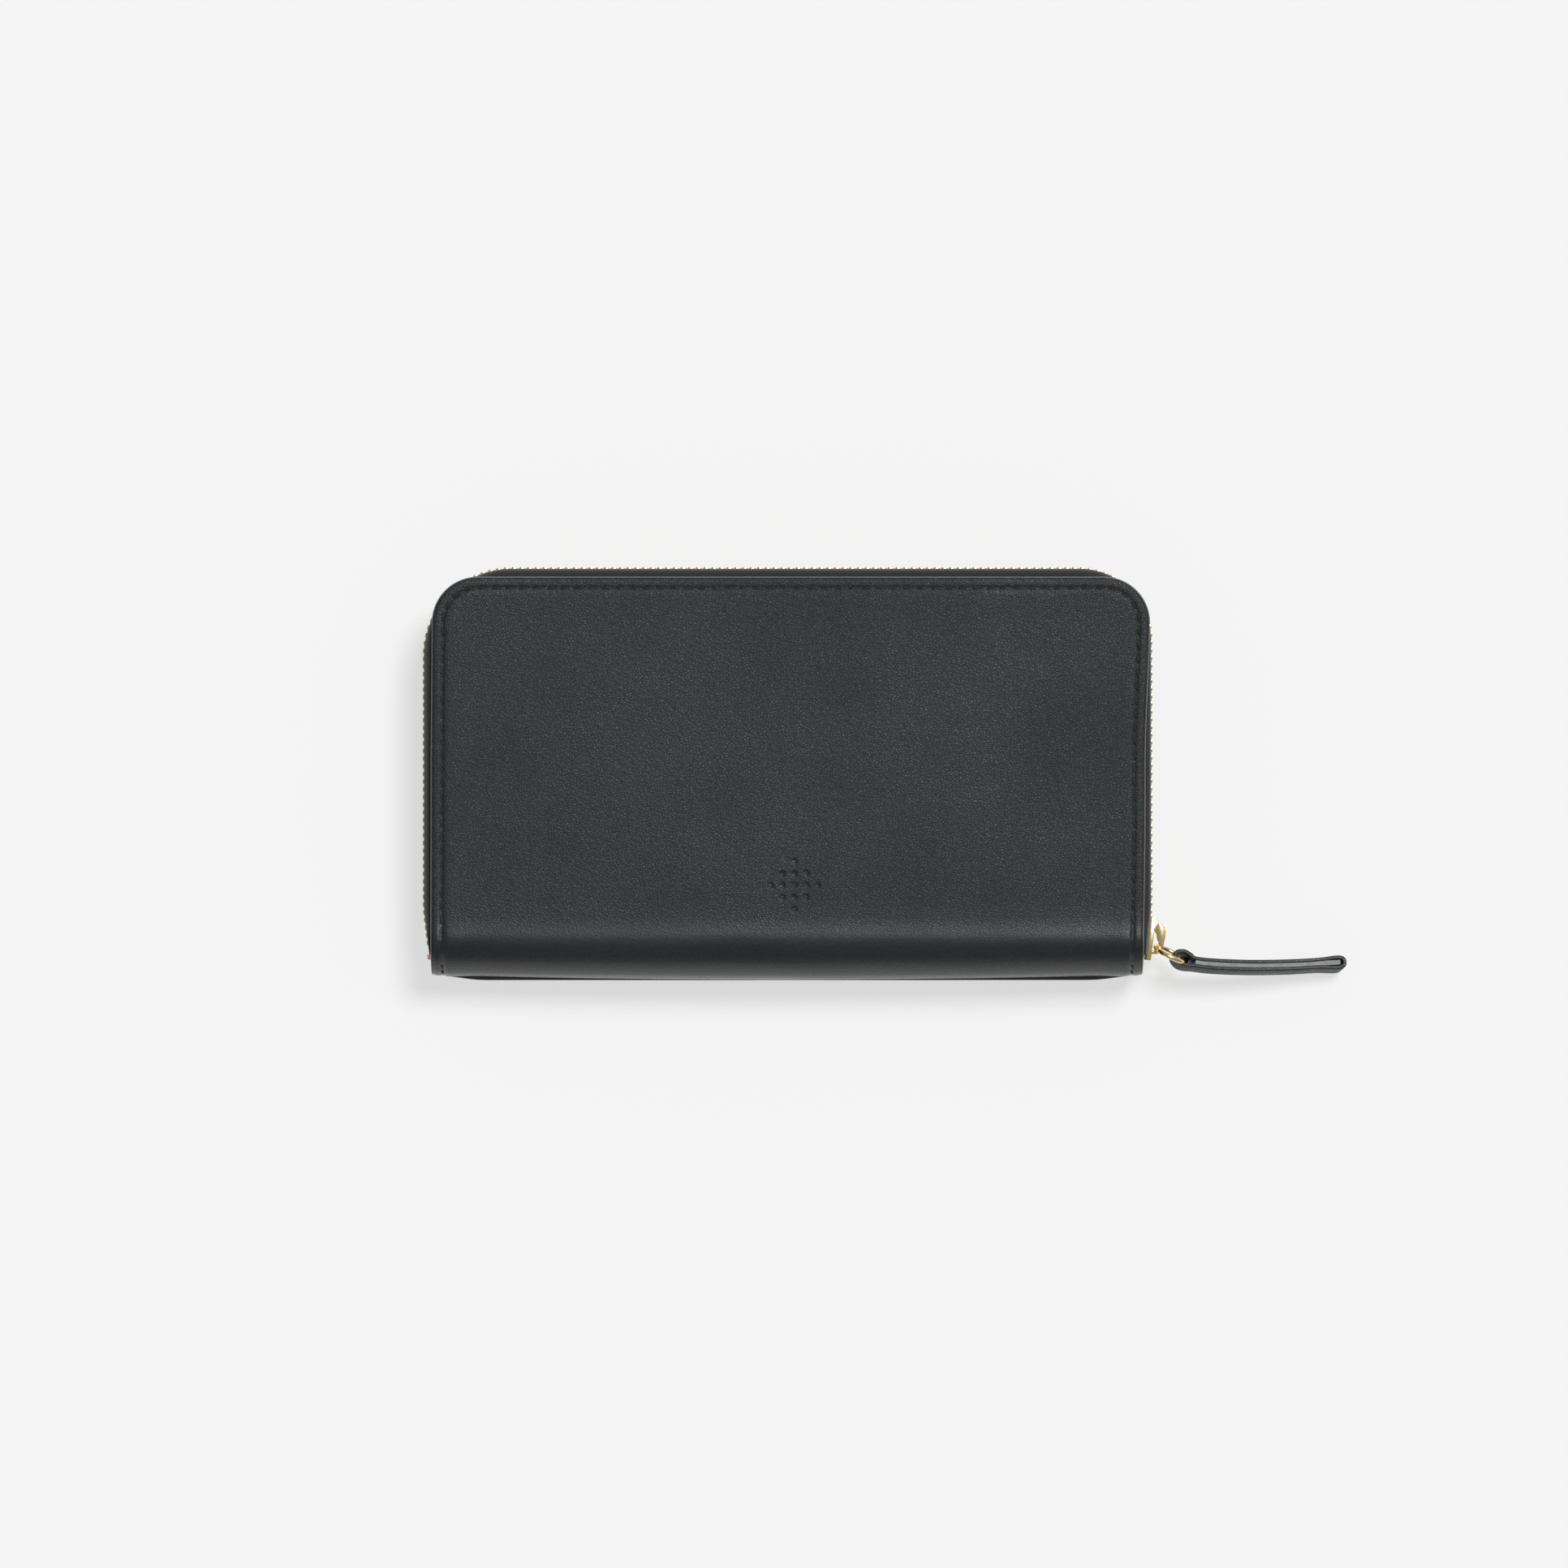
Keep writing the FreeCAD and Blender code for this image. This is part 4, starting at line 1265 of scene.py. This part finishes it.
@dataclass
class MainZip:
    """Tapes and teeth of the zip that closes the wallet."""

    plan: Plan
    finishes: Finishes
    tape: float = 0.6
    tooth_pitch: float = 2.0
    flange: float = 6.0
    flange_height: float = 1.75
    bend: float = 2.1
    widen: float = 0.15
    swell: float = 0.22
    spine_room: float = 9.2
    stagger: float = 0.15

    def __post_init__(self) -> None:
        """Read the route."""
        self.route = ZipRoute.from_frame()
        self.top = self.plan.middle - 1.75

    def profile(self, distance: float) -> tuple[Vector, Vector]:
        """Place (outwards, height) and normal of the tape's section, from its sewn edge to the teeth.

        Args:
            distance: Distance from the sewn edge.

        Returns:
            The place and the normal.
        """
        flat = self.flange - self.bend
        arc = self.bend * math.pi / 2
        if distance <= flat:
            return Vector((distance - self.flange, self.flange_height)), Vector((0.0, -1.0))
        if distance <= flat + arc:
            turn = (distance - flat) / self.bend
            centre = Vector((-self.bend, self.flange_height + self.bend))
            out = Vector((math.sin(turn), -math.cos(turn)))
            return centre + out * self.bend, out
        rise = distance - flat - arc
        wall = self.top - self.flange_height - self.bend
        swell = self.swell * math.sin(math.pi * rise / wall)
        return Vector((swell, self.flange_height + self.bend + rise)), Vector((1.0, 0.0))

    def section_length(self) -> float:
        """Length of the tape's section."""
        return self.flange - self.bend + self.bend * math.pi / 2 + self.top - self.flange_height - self.bend

    def place(self, side: Side, distance: float, down: float, height: float) -> Vector:
        """Place of a point on a tape.

        Args:
            side: The tape's cover.
            distance: Distance along the chain.
            down: Distance from the sewn edge.
            height: Height over the middle of the tape's thickness.

        Returns:
            The place in the wallet.
        """
        point, ahead = self.route.at(distance)
        outward = Vector((-ahead.y, ahead.x, 0.0))
        (out, z), (lean, drop) = self.profile(down)
        out += lean * height
        z += drop * height
        spot = point + outward * (out + self.widen)
        behind = self.plan.spine_y - spot.y
        if behind > 0.0:
            room = math.sqrt(max(1.0, self.spine_room ** 2 - behind ** 2))
            z = max(z, self.plan.middle - room)
        spot.z = self.plan.middle + side.value * (self.plan.middle - z)
        return spot

    def build(self) -> None:
        """Make both tapes and both rows of teeth."""
        length = self.route.length()
        section = self.section_length()
        rows = [section * index / 16 for index in range(17)]
        count = int(length / 1.6)
        steps = [length * index / count for index in range(count + 1)]
        template = tooth_block()
        for side in Side:
            mesh = flat_grid(steps, rows)
            thicken(mesh, self.tape / 2, -self.tape / 2)
            for vert in mesh.verts:
                vert.co = self.place(side, *vert.co)
            name = side.body + "_zip"
            tape = publish(mesh, name + "_tape_woven", (self.finishes.tape,) * 2)
            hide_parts(name + "_tape")
            length * MM
            section * MM
            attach(tape, side.body)
            row = row_of(template, self.tooth_places(side))
            teeth = publish(row, name + "_teeth_metal", (self.finishes.teeth,), 30.0)
            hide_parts(name + "_teeth")
            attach(teeth, side.body)
        bpy.data.meshes.remove(template)

    def tooth_places(self, side: Side) -> list[Matrix]:
        """Where each tooth of a row stands; the two rows are half a pitch apart.

        Args:
            side: The row's cover.

        Returns:
            One matrix for each tooth.
        """
        places = []
        first = self.tooth_pitch * (1.0 if side is Side.BACK else 1.5)
        for index in range(int((self.route.length() - 2 * first) / self.tooth_pitch) + 1):
            point, ahead = self.route.at(first + index * self.tooth_pitch)
            up = UP * -side.value
            turn = Matrix((ahead, up.cross(ahead), up)).transposed().to_4x4()
            point.z = self.plan.middle + side.value * 0.12
            outward = Vector((-ahead.y, ahead.x, 0.0))
            point += outward * (self.widen - self.stagger + self.stagger * side.value)
            places.append(Matrix.Translation(point) @ turn)
        return places


# ---------------------------------------------------------------- slider, ring and strap


def cad_copy(
    node: str, name: str, material: bpy.types.Material, bevel: float
) -> bpy.types.Object:
    """A merged copy of a CAD node with its sharp edges rounded; it stands for the node.

    Args:
        node: CAD node.
        name: Name of the new piece.
        material: Its finish.
        bevel: Radius of the rounded edges in millimetres.

    Returns:
        The new piece, which rides on the node's body.
    """
    mesh = bmesh.new()
    mesh.from_mesh(frame["nodes"][node].data)
    bmesh.ops.scale(mesh, vec=(1.0 / MM,) * 3, verts=mesh.verts[:])
    bmesh.ops.remove_doubles(mesh, verts=mesh.verts[:], dist=0.002)
    bmesh.ops.dissolve_limit(
        mesh, angle_limit=math.radians(0.4), use_dissolve_boundaries=False,
        verts=mesh.verts[:], edges=mesh.edges[:]
    )
    sharp = [edge for edge in mesh.edges if edge.is_manifold and edge.calc_face_angle() > math.radians(32.0)]
    bmesh.ops.bevel(
        mesh, geom=sharp, offset=bevel, segments=2, profile=0.5, clamp_overlap=True,
        affect="EDGES", material=-1
    )
    item = publish(mesh, name, (material,), 35.0)
    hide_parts(node)
    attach(item, frame["nodes"][node]["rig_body"])
    return item


@dataclass
class Pull:
    """The slider with its open hook, the ring, and the leather strap."""

    finishes: Finishes
    ring_radius: float = 4.4
    ring_tilt: float = 9.0
    wire: float = 0.65
    ply: float = 1.05
    seam: float = 0.95
    roll: float = -14.0
    strap_width: float = 5.6
    eye_length: float = 4.0
    eye_width: float = 2.4
    droop: float = 11.0
    hook_width: float = 1.9

    def __post_init__(self) -> None:
        """Read the ring's place from its two hinges."""
        self.foot, self.end = (
            Vector(joint_of("name", hinge)["pos_m"]) / MM for hinge in ("ring_swing", "strap_swing")
        )
        self.heading = (self.end - self.foot).normalized()

    def build(self) -> None:
        """Make every piece."""
        cad_copy("slider_body", "slider_shell", self.finishes.gold, 0.22)
        hook = publish(self.hook(), "slider_open_hook", (self.finishes.gold,), 30.0)
        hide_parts("slider_hook")
        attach(hook, "slider")
        ring = publish(self.ring(), "pull_ring_wire", (self.finishes.gold,))
        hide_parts("pull_ring")
        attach(ring, "ring")
        strap = publish(self.strap(), "pull_strap_leather", (self.finishes.strap,))
        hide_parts("pull_strap")
        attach(strap, "strap")
        core = publish(self.core(), "pull_strap_seam", (self.finishes.core,) * 2)
        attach(core, "strap")
        thread = publish(self.thread(), "pull_strap_thread", (self.finishes.thread,))
        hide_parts("pull_strap_stitching")
        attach(thread, "strap")

    def hook(self) -> bmesh.types.BMesh:
        """The claw that holds the ring: a cut plate, open at its tip, round the ring's near wire."""
        outline = (
            (-2.1, -0.75), (-1.4, -0.95), (-0.5, -1.0), (0.3, -0.85), (0.85, -0.3), (0.8, 0.7), (0.5, 1.7),
            (0.25, 2.6), (0.25, 3.3), (-0.4, 4.2), (0.15, 5.4), (0.8, 6.2), (1.6, 5.9), (2.3, 5.0),
            (2.7, 4.0), (2.55, 2.5), (2.2, 0.9), (1.9, -0.6), (1.2, -1.7), (0.0, -2.0), (-1.2, -1.95),
            (-2.2, -1.8)
        )
        mesh = bmesh.new()
        bmesh.ops.create_circle(mesh, cap_ends=True, segments=len(outline), radius=1.0)
        mesh.verts.ensure_lookup_table()
        for vert, (x, y) in zip(mesh.verts, reversed(outline)):
            vert.co = self.foot + Vector((x, y, -self.hook_width / 2))
        made = bmesh.ops.extrude_face_region(mesh, geom=mesh.faces[:], use_keep_orig=True)
        raised = [item for item in made["geom"] if isinstance(item, bmesh.types.BMVert)]
        bmesh.ops.translate(mesh, vec=UP * self.hook_width, verts=raised)
        bmesh.ops.recalc_face_normals(mesh, faces=mesh.faces[:])
        rims = [edge for edge in mesh.edges if abs((edge.verts[0].co - edge.verts[1].co).z) < 0.1]
        bmesh.ops.bevel(mesh, geom=rims, offset=0.3, segments=3, profile=0.5, affect="EDGES", material=-1)
        return mesh

    def ring(self) -> bmesh.types.BMesh:
        """A round wire spun about a level axis."""
        mesh = bmesh.new()
        turn = Matrix.Rotation(math.pi / 2, 4, "X")
        bmesh.ops.create_circle(
            mesh, segments=16, radius=self.wire, matrix=Matrix.Translation((self.ring_radius, 0, 0)) @ turn
        )
        bmesh.ops.spin(
            mesh, geom=mesh.edges[:], cent=(0, 0, 0), axis=(0, 0, 1), angle=2 * math.pi, steps=64,
            use_merge=True
        )
        centre = (self.foot + self.end) / 2
        stand = Matrix((self.heading, UP, self.heading.cross(UP))).transposed().to_4x4()
        stand = stand @ Matrix.Rotation(math.radians(self.ring_tilt), 4, "X")
        bmesh.ops.transform(mesh, matrix=Matrix.Translation(centre) @ stand, verts=mesh.verts[:])
        return mesh

    def middle_line(self) -> list[Vector]:
        """Middle of the sewn strap, from the eye outwards."""
        points = ((2.9, -1.1), (8.0, -1.7), (17.6, -2.1), (28.0, -2.0), (36.0, -1.6), (41.7, -1.3))
        return [Vector((x, y, 0.0)) for x, y in points]

    def stand(self) -> Matrix:
        """Place of the strap: it hangs from the ring's far wire and droops towards its end."""
        eye = self.end - self.heading * (self.eye_length / 2 - self.wire - 0.35)
        droop = Matrix.Rotation(math.radians(self.droop), 4, "Y")
        return Matrix.Translation(eye) @ droop @ Matrix.Rotation(math.radians(self.roll), 4, "X")

    def beside(self, line: Sequence[Vector], offset: float) -> list[Vector]:
        """Points beside the middle line.

        Args:
            line: The middle line.
            offset: Distance to its left.

        Returns:
            The points.
        """
        found = []
        for index, point in enumerate(line):
            ahead = ahead_at(line, index)
            found.append(point + Vector((-ahead.y, ahead.x, 0.0)) * offset)
        return found

    def loop_points(self) -> list[Vector]:
        """One closed turn of the strip: out along one ply, round the tip, back, and round the eye."""
        gap = (self.ply + self.seam) / 2
        line = self.middle_line()
        upper = self.beside(line, gap)
        lower = self.beside(line, -gap)
        tip_ahead = (line[-1] - line[-2]).normalized()
        upper[-1] += Vector((0.0, 0.3, 0.0))
        lower[-1] -= Vector((0.0, 0.3, 0.0))
        tip = line[-1] + tip_ahead * 1.2
        turn = math.atan2(self.heading.y, self.heading.x)
        eye = []
        for degrees in (-62, -105, -150, 180, 150, 105, 62):
            angle = math.radians(degrees)
            local = Vector((
                (self.eye_length / 2 + self.ply / 2) * math.cos(angle),
                (self.eye_width / 2 + self.ply / 2) * math.sin(angle), 0.0
            ))
            eye.append(Matrix.Rotation(turn, 3, "Z") @ local)
        return upper + [tip] + list(reversed(lower)) + eye

    def strap(self) -> bmesh.types.BMesh:
        """The folded leather strip with rounded edges."""
        line = eased_loop(self.loop_points(), 7)
        count = len(line)
        half, wide, soft = self.ply / 2, self.strap_width / 2, 0.4
        outline = []
        for quarter in range(4):
            for part in range(4):
                angle = math.pi / 2 * (quarter + part / 3)
                corner = ((1, 1), (-1, 1), (-1, -1), (1, -1))[quarter]
                out = corner[0] * (half - soft) + soft * math.cos(angle)
                outline.append((out, corner[1] * (wide - soft) + soft * math.sin(angle)))
        mesh = flat_grid([float(i) for i in range(count + 1)], [float(i) for i in range(len(outline) + 1)])
        for vert in mesh.verts:
            index = round(vert.co.x) % count
            out, height = outline[round(vert.co.y) % len(outline)]
            ahead = (line[(index + 1) % count] - line[index - 1]).normalized()
            vert.co = line[index] + Vector((-ahead.y, ahead.x, 0.0)) * out + UP * height
        bmesh.ops.transform(mesh, matrix=self.stand(), verts=mesh.verts[:])
        return mesh

    def core(self) -> bmesh.types.BMesh:
        """The glued seam between the two plies, seen as a pale line on edge."""
        line = self.middle_line()
        dense = []
        for point, following in zip(line, line[1:]):
            dense.extend(point.lerp(following, part / 4) for part in range(4))
        dense.append(line[-1])
        wide = self.strap_width / 2 - 0.28
        heights = [wide * (-1 + 2 * index / 4) for index in range(5)]
        mesh = flat_grid([float(i) for i in range(len(dense))], heights)
        thicken(mesh, self.seam / 2 + 0.12, -self.seam / 2 - 0.12)
        for vert in mesh.verts:
            index = round(vert.co.x)
            ahead = ahead_at(dense, index)
            vert.co = dense[index] + Vector((-ahead.y, ahead.x, 0.0)) * vert.co.z + UP * vert.co.y
        bmesh.ops.transform(mesh, matrix=self.stand(), verts=mesh.verts[:])
        return mesh

    def thread(self) -> bmesh.types.BMesh:
        """Two rows of stitches on each face of the strap."""
        mesh = bmesh.new()
        line = eased_loop(self.middle_line(), 5)[7:20]
        for offset in (-1, 1):
            gap = offset * (self.seam / 2 + self.ply - 0.1)
            for point, following in zip(line[1::2], line[2::2]):
                ahead = (following - point).normalized()
                side = Vector((-ahead.y, ahead.x, 0.0))
                turn = Matrix((ahead, side, UP)).transposed().to_4x4()
                for height in (-self.strap_width / 2 + 1.0, self.strap_width / 2 - 1.0):
                    centre = point + side * gap + UP * height
                    place = self.stand() @ Matrix.Translation(centre) @ turn
                    shape = place @ Matrix.Diagonal((0.9, 0.16, 0.22, 1.0))
                    bmesh.ops.create_uvsphere(mesh, u_segments=6, v_segments=5, radius=1.0, matrix=shape)
        return mesh


# ---------------------------------------------------------------- coin pocket and gussets


@dataclass
class CoinPocket:
    """The zipped pocket in the middle, its small zip and the pleated gussets beside it."""

    plan: Plan
    finishes: Finishes
    half: float = 82.6
    near: float = -41.7
    mouth: float = 35.3
    thickness: float = 5.6
    wall: float = 0.6
    tooth_pitch: float = 2.0
    pleat: tuple[tuple[float, float], ...] = (
        (85.0, 3.0), (88.6, 3.1), (89.0, 4.6), (86.0, 6.4), (83.6, 7.4), (84.6, 8.6), (86.2, 10.2),
        (84.4, 11.3), (82.9, 11.5)
    )
    gusset_length: float = 44.0
    gusset_leather: float = 0.5
    spine_room: float = 9.0

    def build(self) -> None:
        """Make every piece."""
        pouch = publish(self.pouch(), "coin_pouch_cloth", (self.finishes.lining,) * 2)
        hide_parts("coin_pocket_back_wall", "coin_pocket_front_wall")
        2 * self.half * MM
        2 * (self.mouth - self.near) * MM
        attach(pouch, "spine")
        teeth = publish(self.teeth(), "coin_zip_teeth_metal", (self.finishes.teeth,), 30.0)
        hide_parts("coin_zip_teeth")
        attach(teeth, "spine")
        self.tape("coin_zip_back_tape")
        self.tape("coin_zip_front_tape")
        cad_copy("coin_pocket_edge", "coin_pocket_binding", self.finishes.inner, 0.2)
        cad_copy("coin_pocket_hem", "coin_pocket_hem_leather", self.finishes.inner, 0.15)
        cad_copy("coin_zip_stops", "coin_zip_end_stops", self.finishes.gold, 0.25)
        cad_copy("coin_slider_body", "coin_slider_shell", self.finishes.gold, 0.12)
        cad_copy("coin_slider_bridge", "coin_slider_arch", self.finishes.gold, 0.16)
        cad_copy("coin_pull", "coin_pull_tab", self.finishes.gold, 0.16)
        cad_copy("zip_bottom_stop", "zip_end_clip", self.finishes.gold, 0.2)
        for side in ("left", "right"):
            node = side + "_zip_end_tab"
            cad_copy(node, node + "_leather", self.finishes.plain, 0.5)
            for cover in Side:
                self.gusset(side, cover)

    def pouch(self) -> bmesh.types.BMesh:
        """One folded cloth: up the back wall and down the front wall, round a soft bottom."""
        radius = self.thickness / 2 - self.wall / 2
        depth = self.mouth - self.near - 0.3
        arc = math.pi * radius * 0.62
        edge = (0.0, 0.1, 0.25, 0.5, 1.0, 2.0, 4.0)
        across = centred(graded(2 * self.half, edge, 5.0), self.half)
        down = graded(2 * depth + arc, (0.0, 0.1, 0.3, 0.8, 2.0), 1.1)
        mesh = flat_grid(across, down)
        thicken(mesh, self.wall / 2, -self.wall / 2)
        for vert in mesh.verts:
            x, s, h = vert.co
            if s < depth:
                y, z, lean_y, lean_z = self.mouth - s, -radius, 0.0, -1.0
            elif s > depth + arc:
                y, z, lean_y, lean_z = self.mouth - (2 * depth + arc - s), radius, 0.0, 1.0
            else:
                turn = math.pi * (s - depth) / arc
                y = self.mouth - depth - 0.45 * radius * math.sin(turn)
                z = -radius * math.cos(turn)
                lean_y, lean_z = -math.sin(turn), -math.cos(turn)
            vert.co = (x, y + lean_y * h, self.plan.middle + z + lean_z * h)
        return mesh

    def tape(self, node: str) -> None:
        """One woven tape of the small zip, in the place of its CAD node.

        Args:
            node: The CAD node.
        """
        low, high = (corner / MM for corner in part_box(node))
        edge = (0.0, 0.1, 0.3)
        across = graded(high.x - low.x, edge, 2.5)
        down = graded(high.y - low.y, edge, 0.7)
        mesh = flat_grid(across, down)
        thicken(mesh, high.z - low.z, 0.0)
        bmesh.ops.translate(mesh, vec=low, verts=mesh.verts[:])
        piece = publish(mesh, node + "_woven", (self.finishes.tape,) * 2)
        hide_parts(node)
        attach(piece, "spine")

    def teeth(self) -> bmesh.types.BMesh:
        """Two interlocked rows along the pocket's mouth."""
        low, high = (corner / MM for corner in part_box("coin_zip_teeth"))
        template = tooth_block()
        places = []
        count = int((high.x - low.x) / self.tooth_pitch)
        middle_y = (low.y + high.y) / 2
        for index in range(count):
            for sign in (-1, 1):
                x = low.x + 0.6 + self.tooth_pitch * (index + (0.5 if sign > 0 else 0.0))
                spin = Matrix.Rotation(0.0 if sign < 0 else math.pi, 4, "X")
                place = Matrix.Translation((x, middle_y, self.plan.middle + sign * 0.1)) @ spin
                places.append(place @ Matrix.Diagonal((0.92, 0.86, 1.02, 1.0)))
        mesh = row_of(template, places)
        bpy.data.meshes.remove(template)
        return mesh

    def gusset(self, side: str, cover: Side) -> None:
        """A pleated side wall between a cover's lining and the pocket's edge.

        Args:
            side: left or right.
            cover: The cover that it hangs from.
        """
        sign = 1.0 if side == "right" else -1.0
        points = [Vector((sign * x, 0.0, z)) for x, z in self.pleat]
        dense = eased([points[0], *points, points[-1]], 4) + [points[-1]]
        rows = 18
        down = [self.gusset_length * index / rows for index in range(rows + 1)]
        mesh = flat_grid(down, [float(index) for index in range(len(dense))])
        thicken(mesh, self.gusset_leather / 2, -self.gusset_leather / 2)
        for vert in mesh.verts:
            y, row, h = vert.co
            index = round(row)
            ahead = ahead_at(dense, index)
            spot = dense[index] + Vector((-ahead.z, 0.0, ahead.x)) * h
            spot.y = self.near + 0.6 + y
            room = math.sqrt(max(1.0, self.spine_room ** 2 - max(0.0, self.plan.spine_y - spot.y) ** 2))
            spot.z = max(spot.z, self.plan.middle - room)
            spot.z = self.plan.middle + cover.value * (self.plan.middle - spot.z)
            vert.co = spot
        name = "%s_%s_gusset" % (side, cover.body)
        piece = publish(mesh, name + "_pleat", (self.finishes.inner,) * 2)
        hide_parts(name)
        fold_y = self.plan.near + 6.0
        outer, inner = (
            Vector((0.0, fold_y, self.plan.middle + cover.value * height)) * MM for height in (9.0, 0.8)
        )
        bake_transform(piece)


# ---------------------------------------------------------------- studio


@dataclass
class Studio:
    """Pale floor, soft light from the upper right and a camera straight above."""

    plan: Plan
    floor_size: float = 6.0
    floor_level: float = 0.27
    floor_glow: float = 0.63
    surround: float = 0.3
    camera_height: float = 2.4
    view_width: float = 0.4067
    aim_x: float = -0.0018
    aim_y: float = -0.0015

    def build(self) -> None:
        """Make the floor, lights, world and camera."""
        self.floor()
        self.world()
        self.light("key", (0.34, 0.46, 1.0), 20.0, 2.75)
        camera = bpy.data.cameras.new("camera")
        camera.sensor_width = 36.0
        top = self.plan.thickness * MM
        camera.lens = camera.sensor_width * (self.camera_height - top) / self.view_width
        camera.clip_start = 0.01
        camera.clip_end = 20.0
        holder = bpy.data.objects.new("camera", camera)
        holder.location = (self.aim_x, self.aim_y, self.camera_height)
        bpy.context.scene.collection.objects.link(holder)
        bpy.context.scene.camera = holder
        bpy.context.scene.view_settings.view_transform = "Standard"

    def floor(self) -> None:
        """A plain pale floor just under the wallet."""
        mesh = bmesh.new()
        bmesh.ops.create_grid(mesh, x_segments=1, y_segments=1, size=self.floor_size / 2)
        data = bpy.data.meshes.new("floor")
        mesh.to_mesh(data)
        mesh.free()
        shader = Shader("pale_floor")
        shader.set(Base_Color=grey(self.floor_level), Roughness=1.0, Specular_IOR_Level=0.0)
        shader.set(Emission_Color=grey(1.0), Emission_Strength=self.floor_glow)
        data.materials.append(shader.material)
        floor = bpy.data.objects.new("floor", data)
        bpy.context.scene.collection.objects.link(floor)

    def world(self) -> None:
        """Even white surroundings."""
        world = bpy.data.worlds.new("studio")
        world.use_nodes = True
        background = world.node_tree.nodes["Background"]
        background.inputs["Color"].default_value = grey(1.0)
        background.inputs["Strength"].default_value = self.surround
        bpy.context.scene.world = world

    def light(self, name: str, place: tuple[float, float, float], spread: float, power: float) -> None:
        """A far soft box: it shines from one direction and fills a disc of so many degrees.

        Args:
            name: The lamp's name.
            place: Direction that it shines from.
            spread: Size of the disc.
            power: Its strength.
        """
        lamp = bpy.data.lights.new(name, "SUN")
        lamp.angle = math.radians(spread)
        lamp.energy = power
        holder = bpy.data.objects.new(name, lamp)
        holder.location = place
        holder.rotation_euler = (-Vector(place)).to_track_quat("-Z", "Y").to_euler()
        bpy.context.scene.collection.objects.link(holder)


def dress_boards(finishes: Finishes) -> None:
    """Finish the stiffeners, CAD nodes that keep their own shape."""
    for side in Side:
        for slot in frame["nodes"][side.body + "_stiffener"].material_slots:
            slot.material = finishes.board


def main() -> None:
    """Build the wallet's looks in order."""
    logging.basicConfig(level=logging.INFO, format="%(name)s: %(message)s")
    plan = Plan.from_frame()
    finishes = Finishes()
    Studio(plan).build()
    for side in Side:
        Cover(plan, side, finishes).build()
        InsideLayers(plan, side, finishes).build()
    MainZip(plan, finishes).build()
    Pull(finishes).build()
    CoinPocket(plan, finishes).build()
    dress_boards(finishes)


if __name__ == "__main__":
    main()
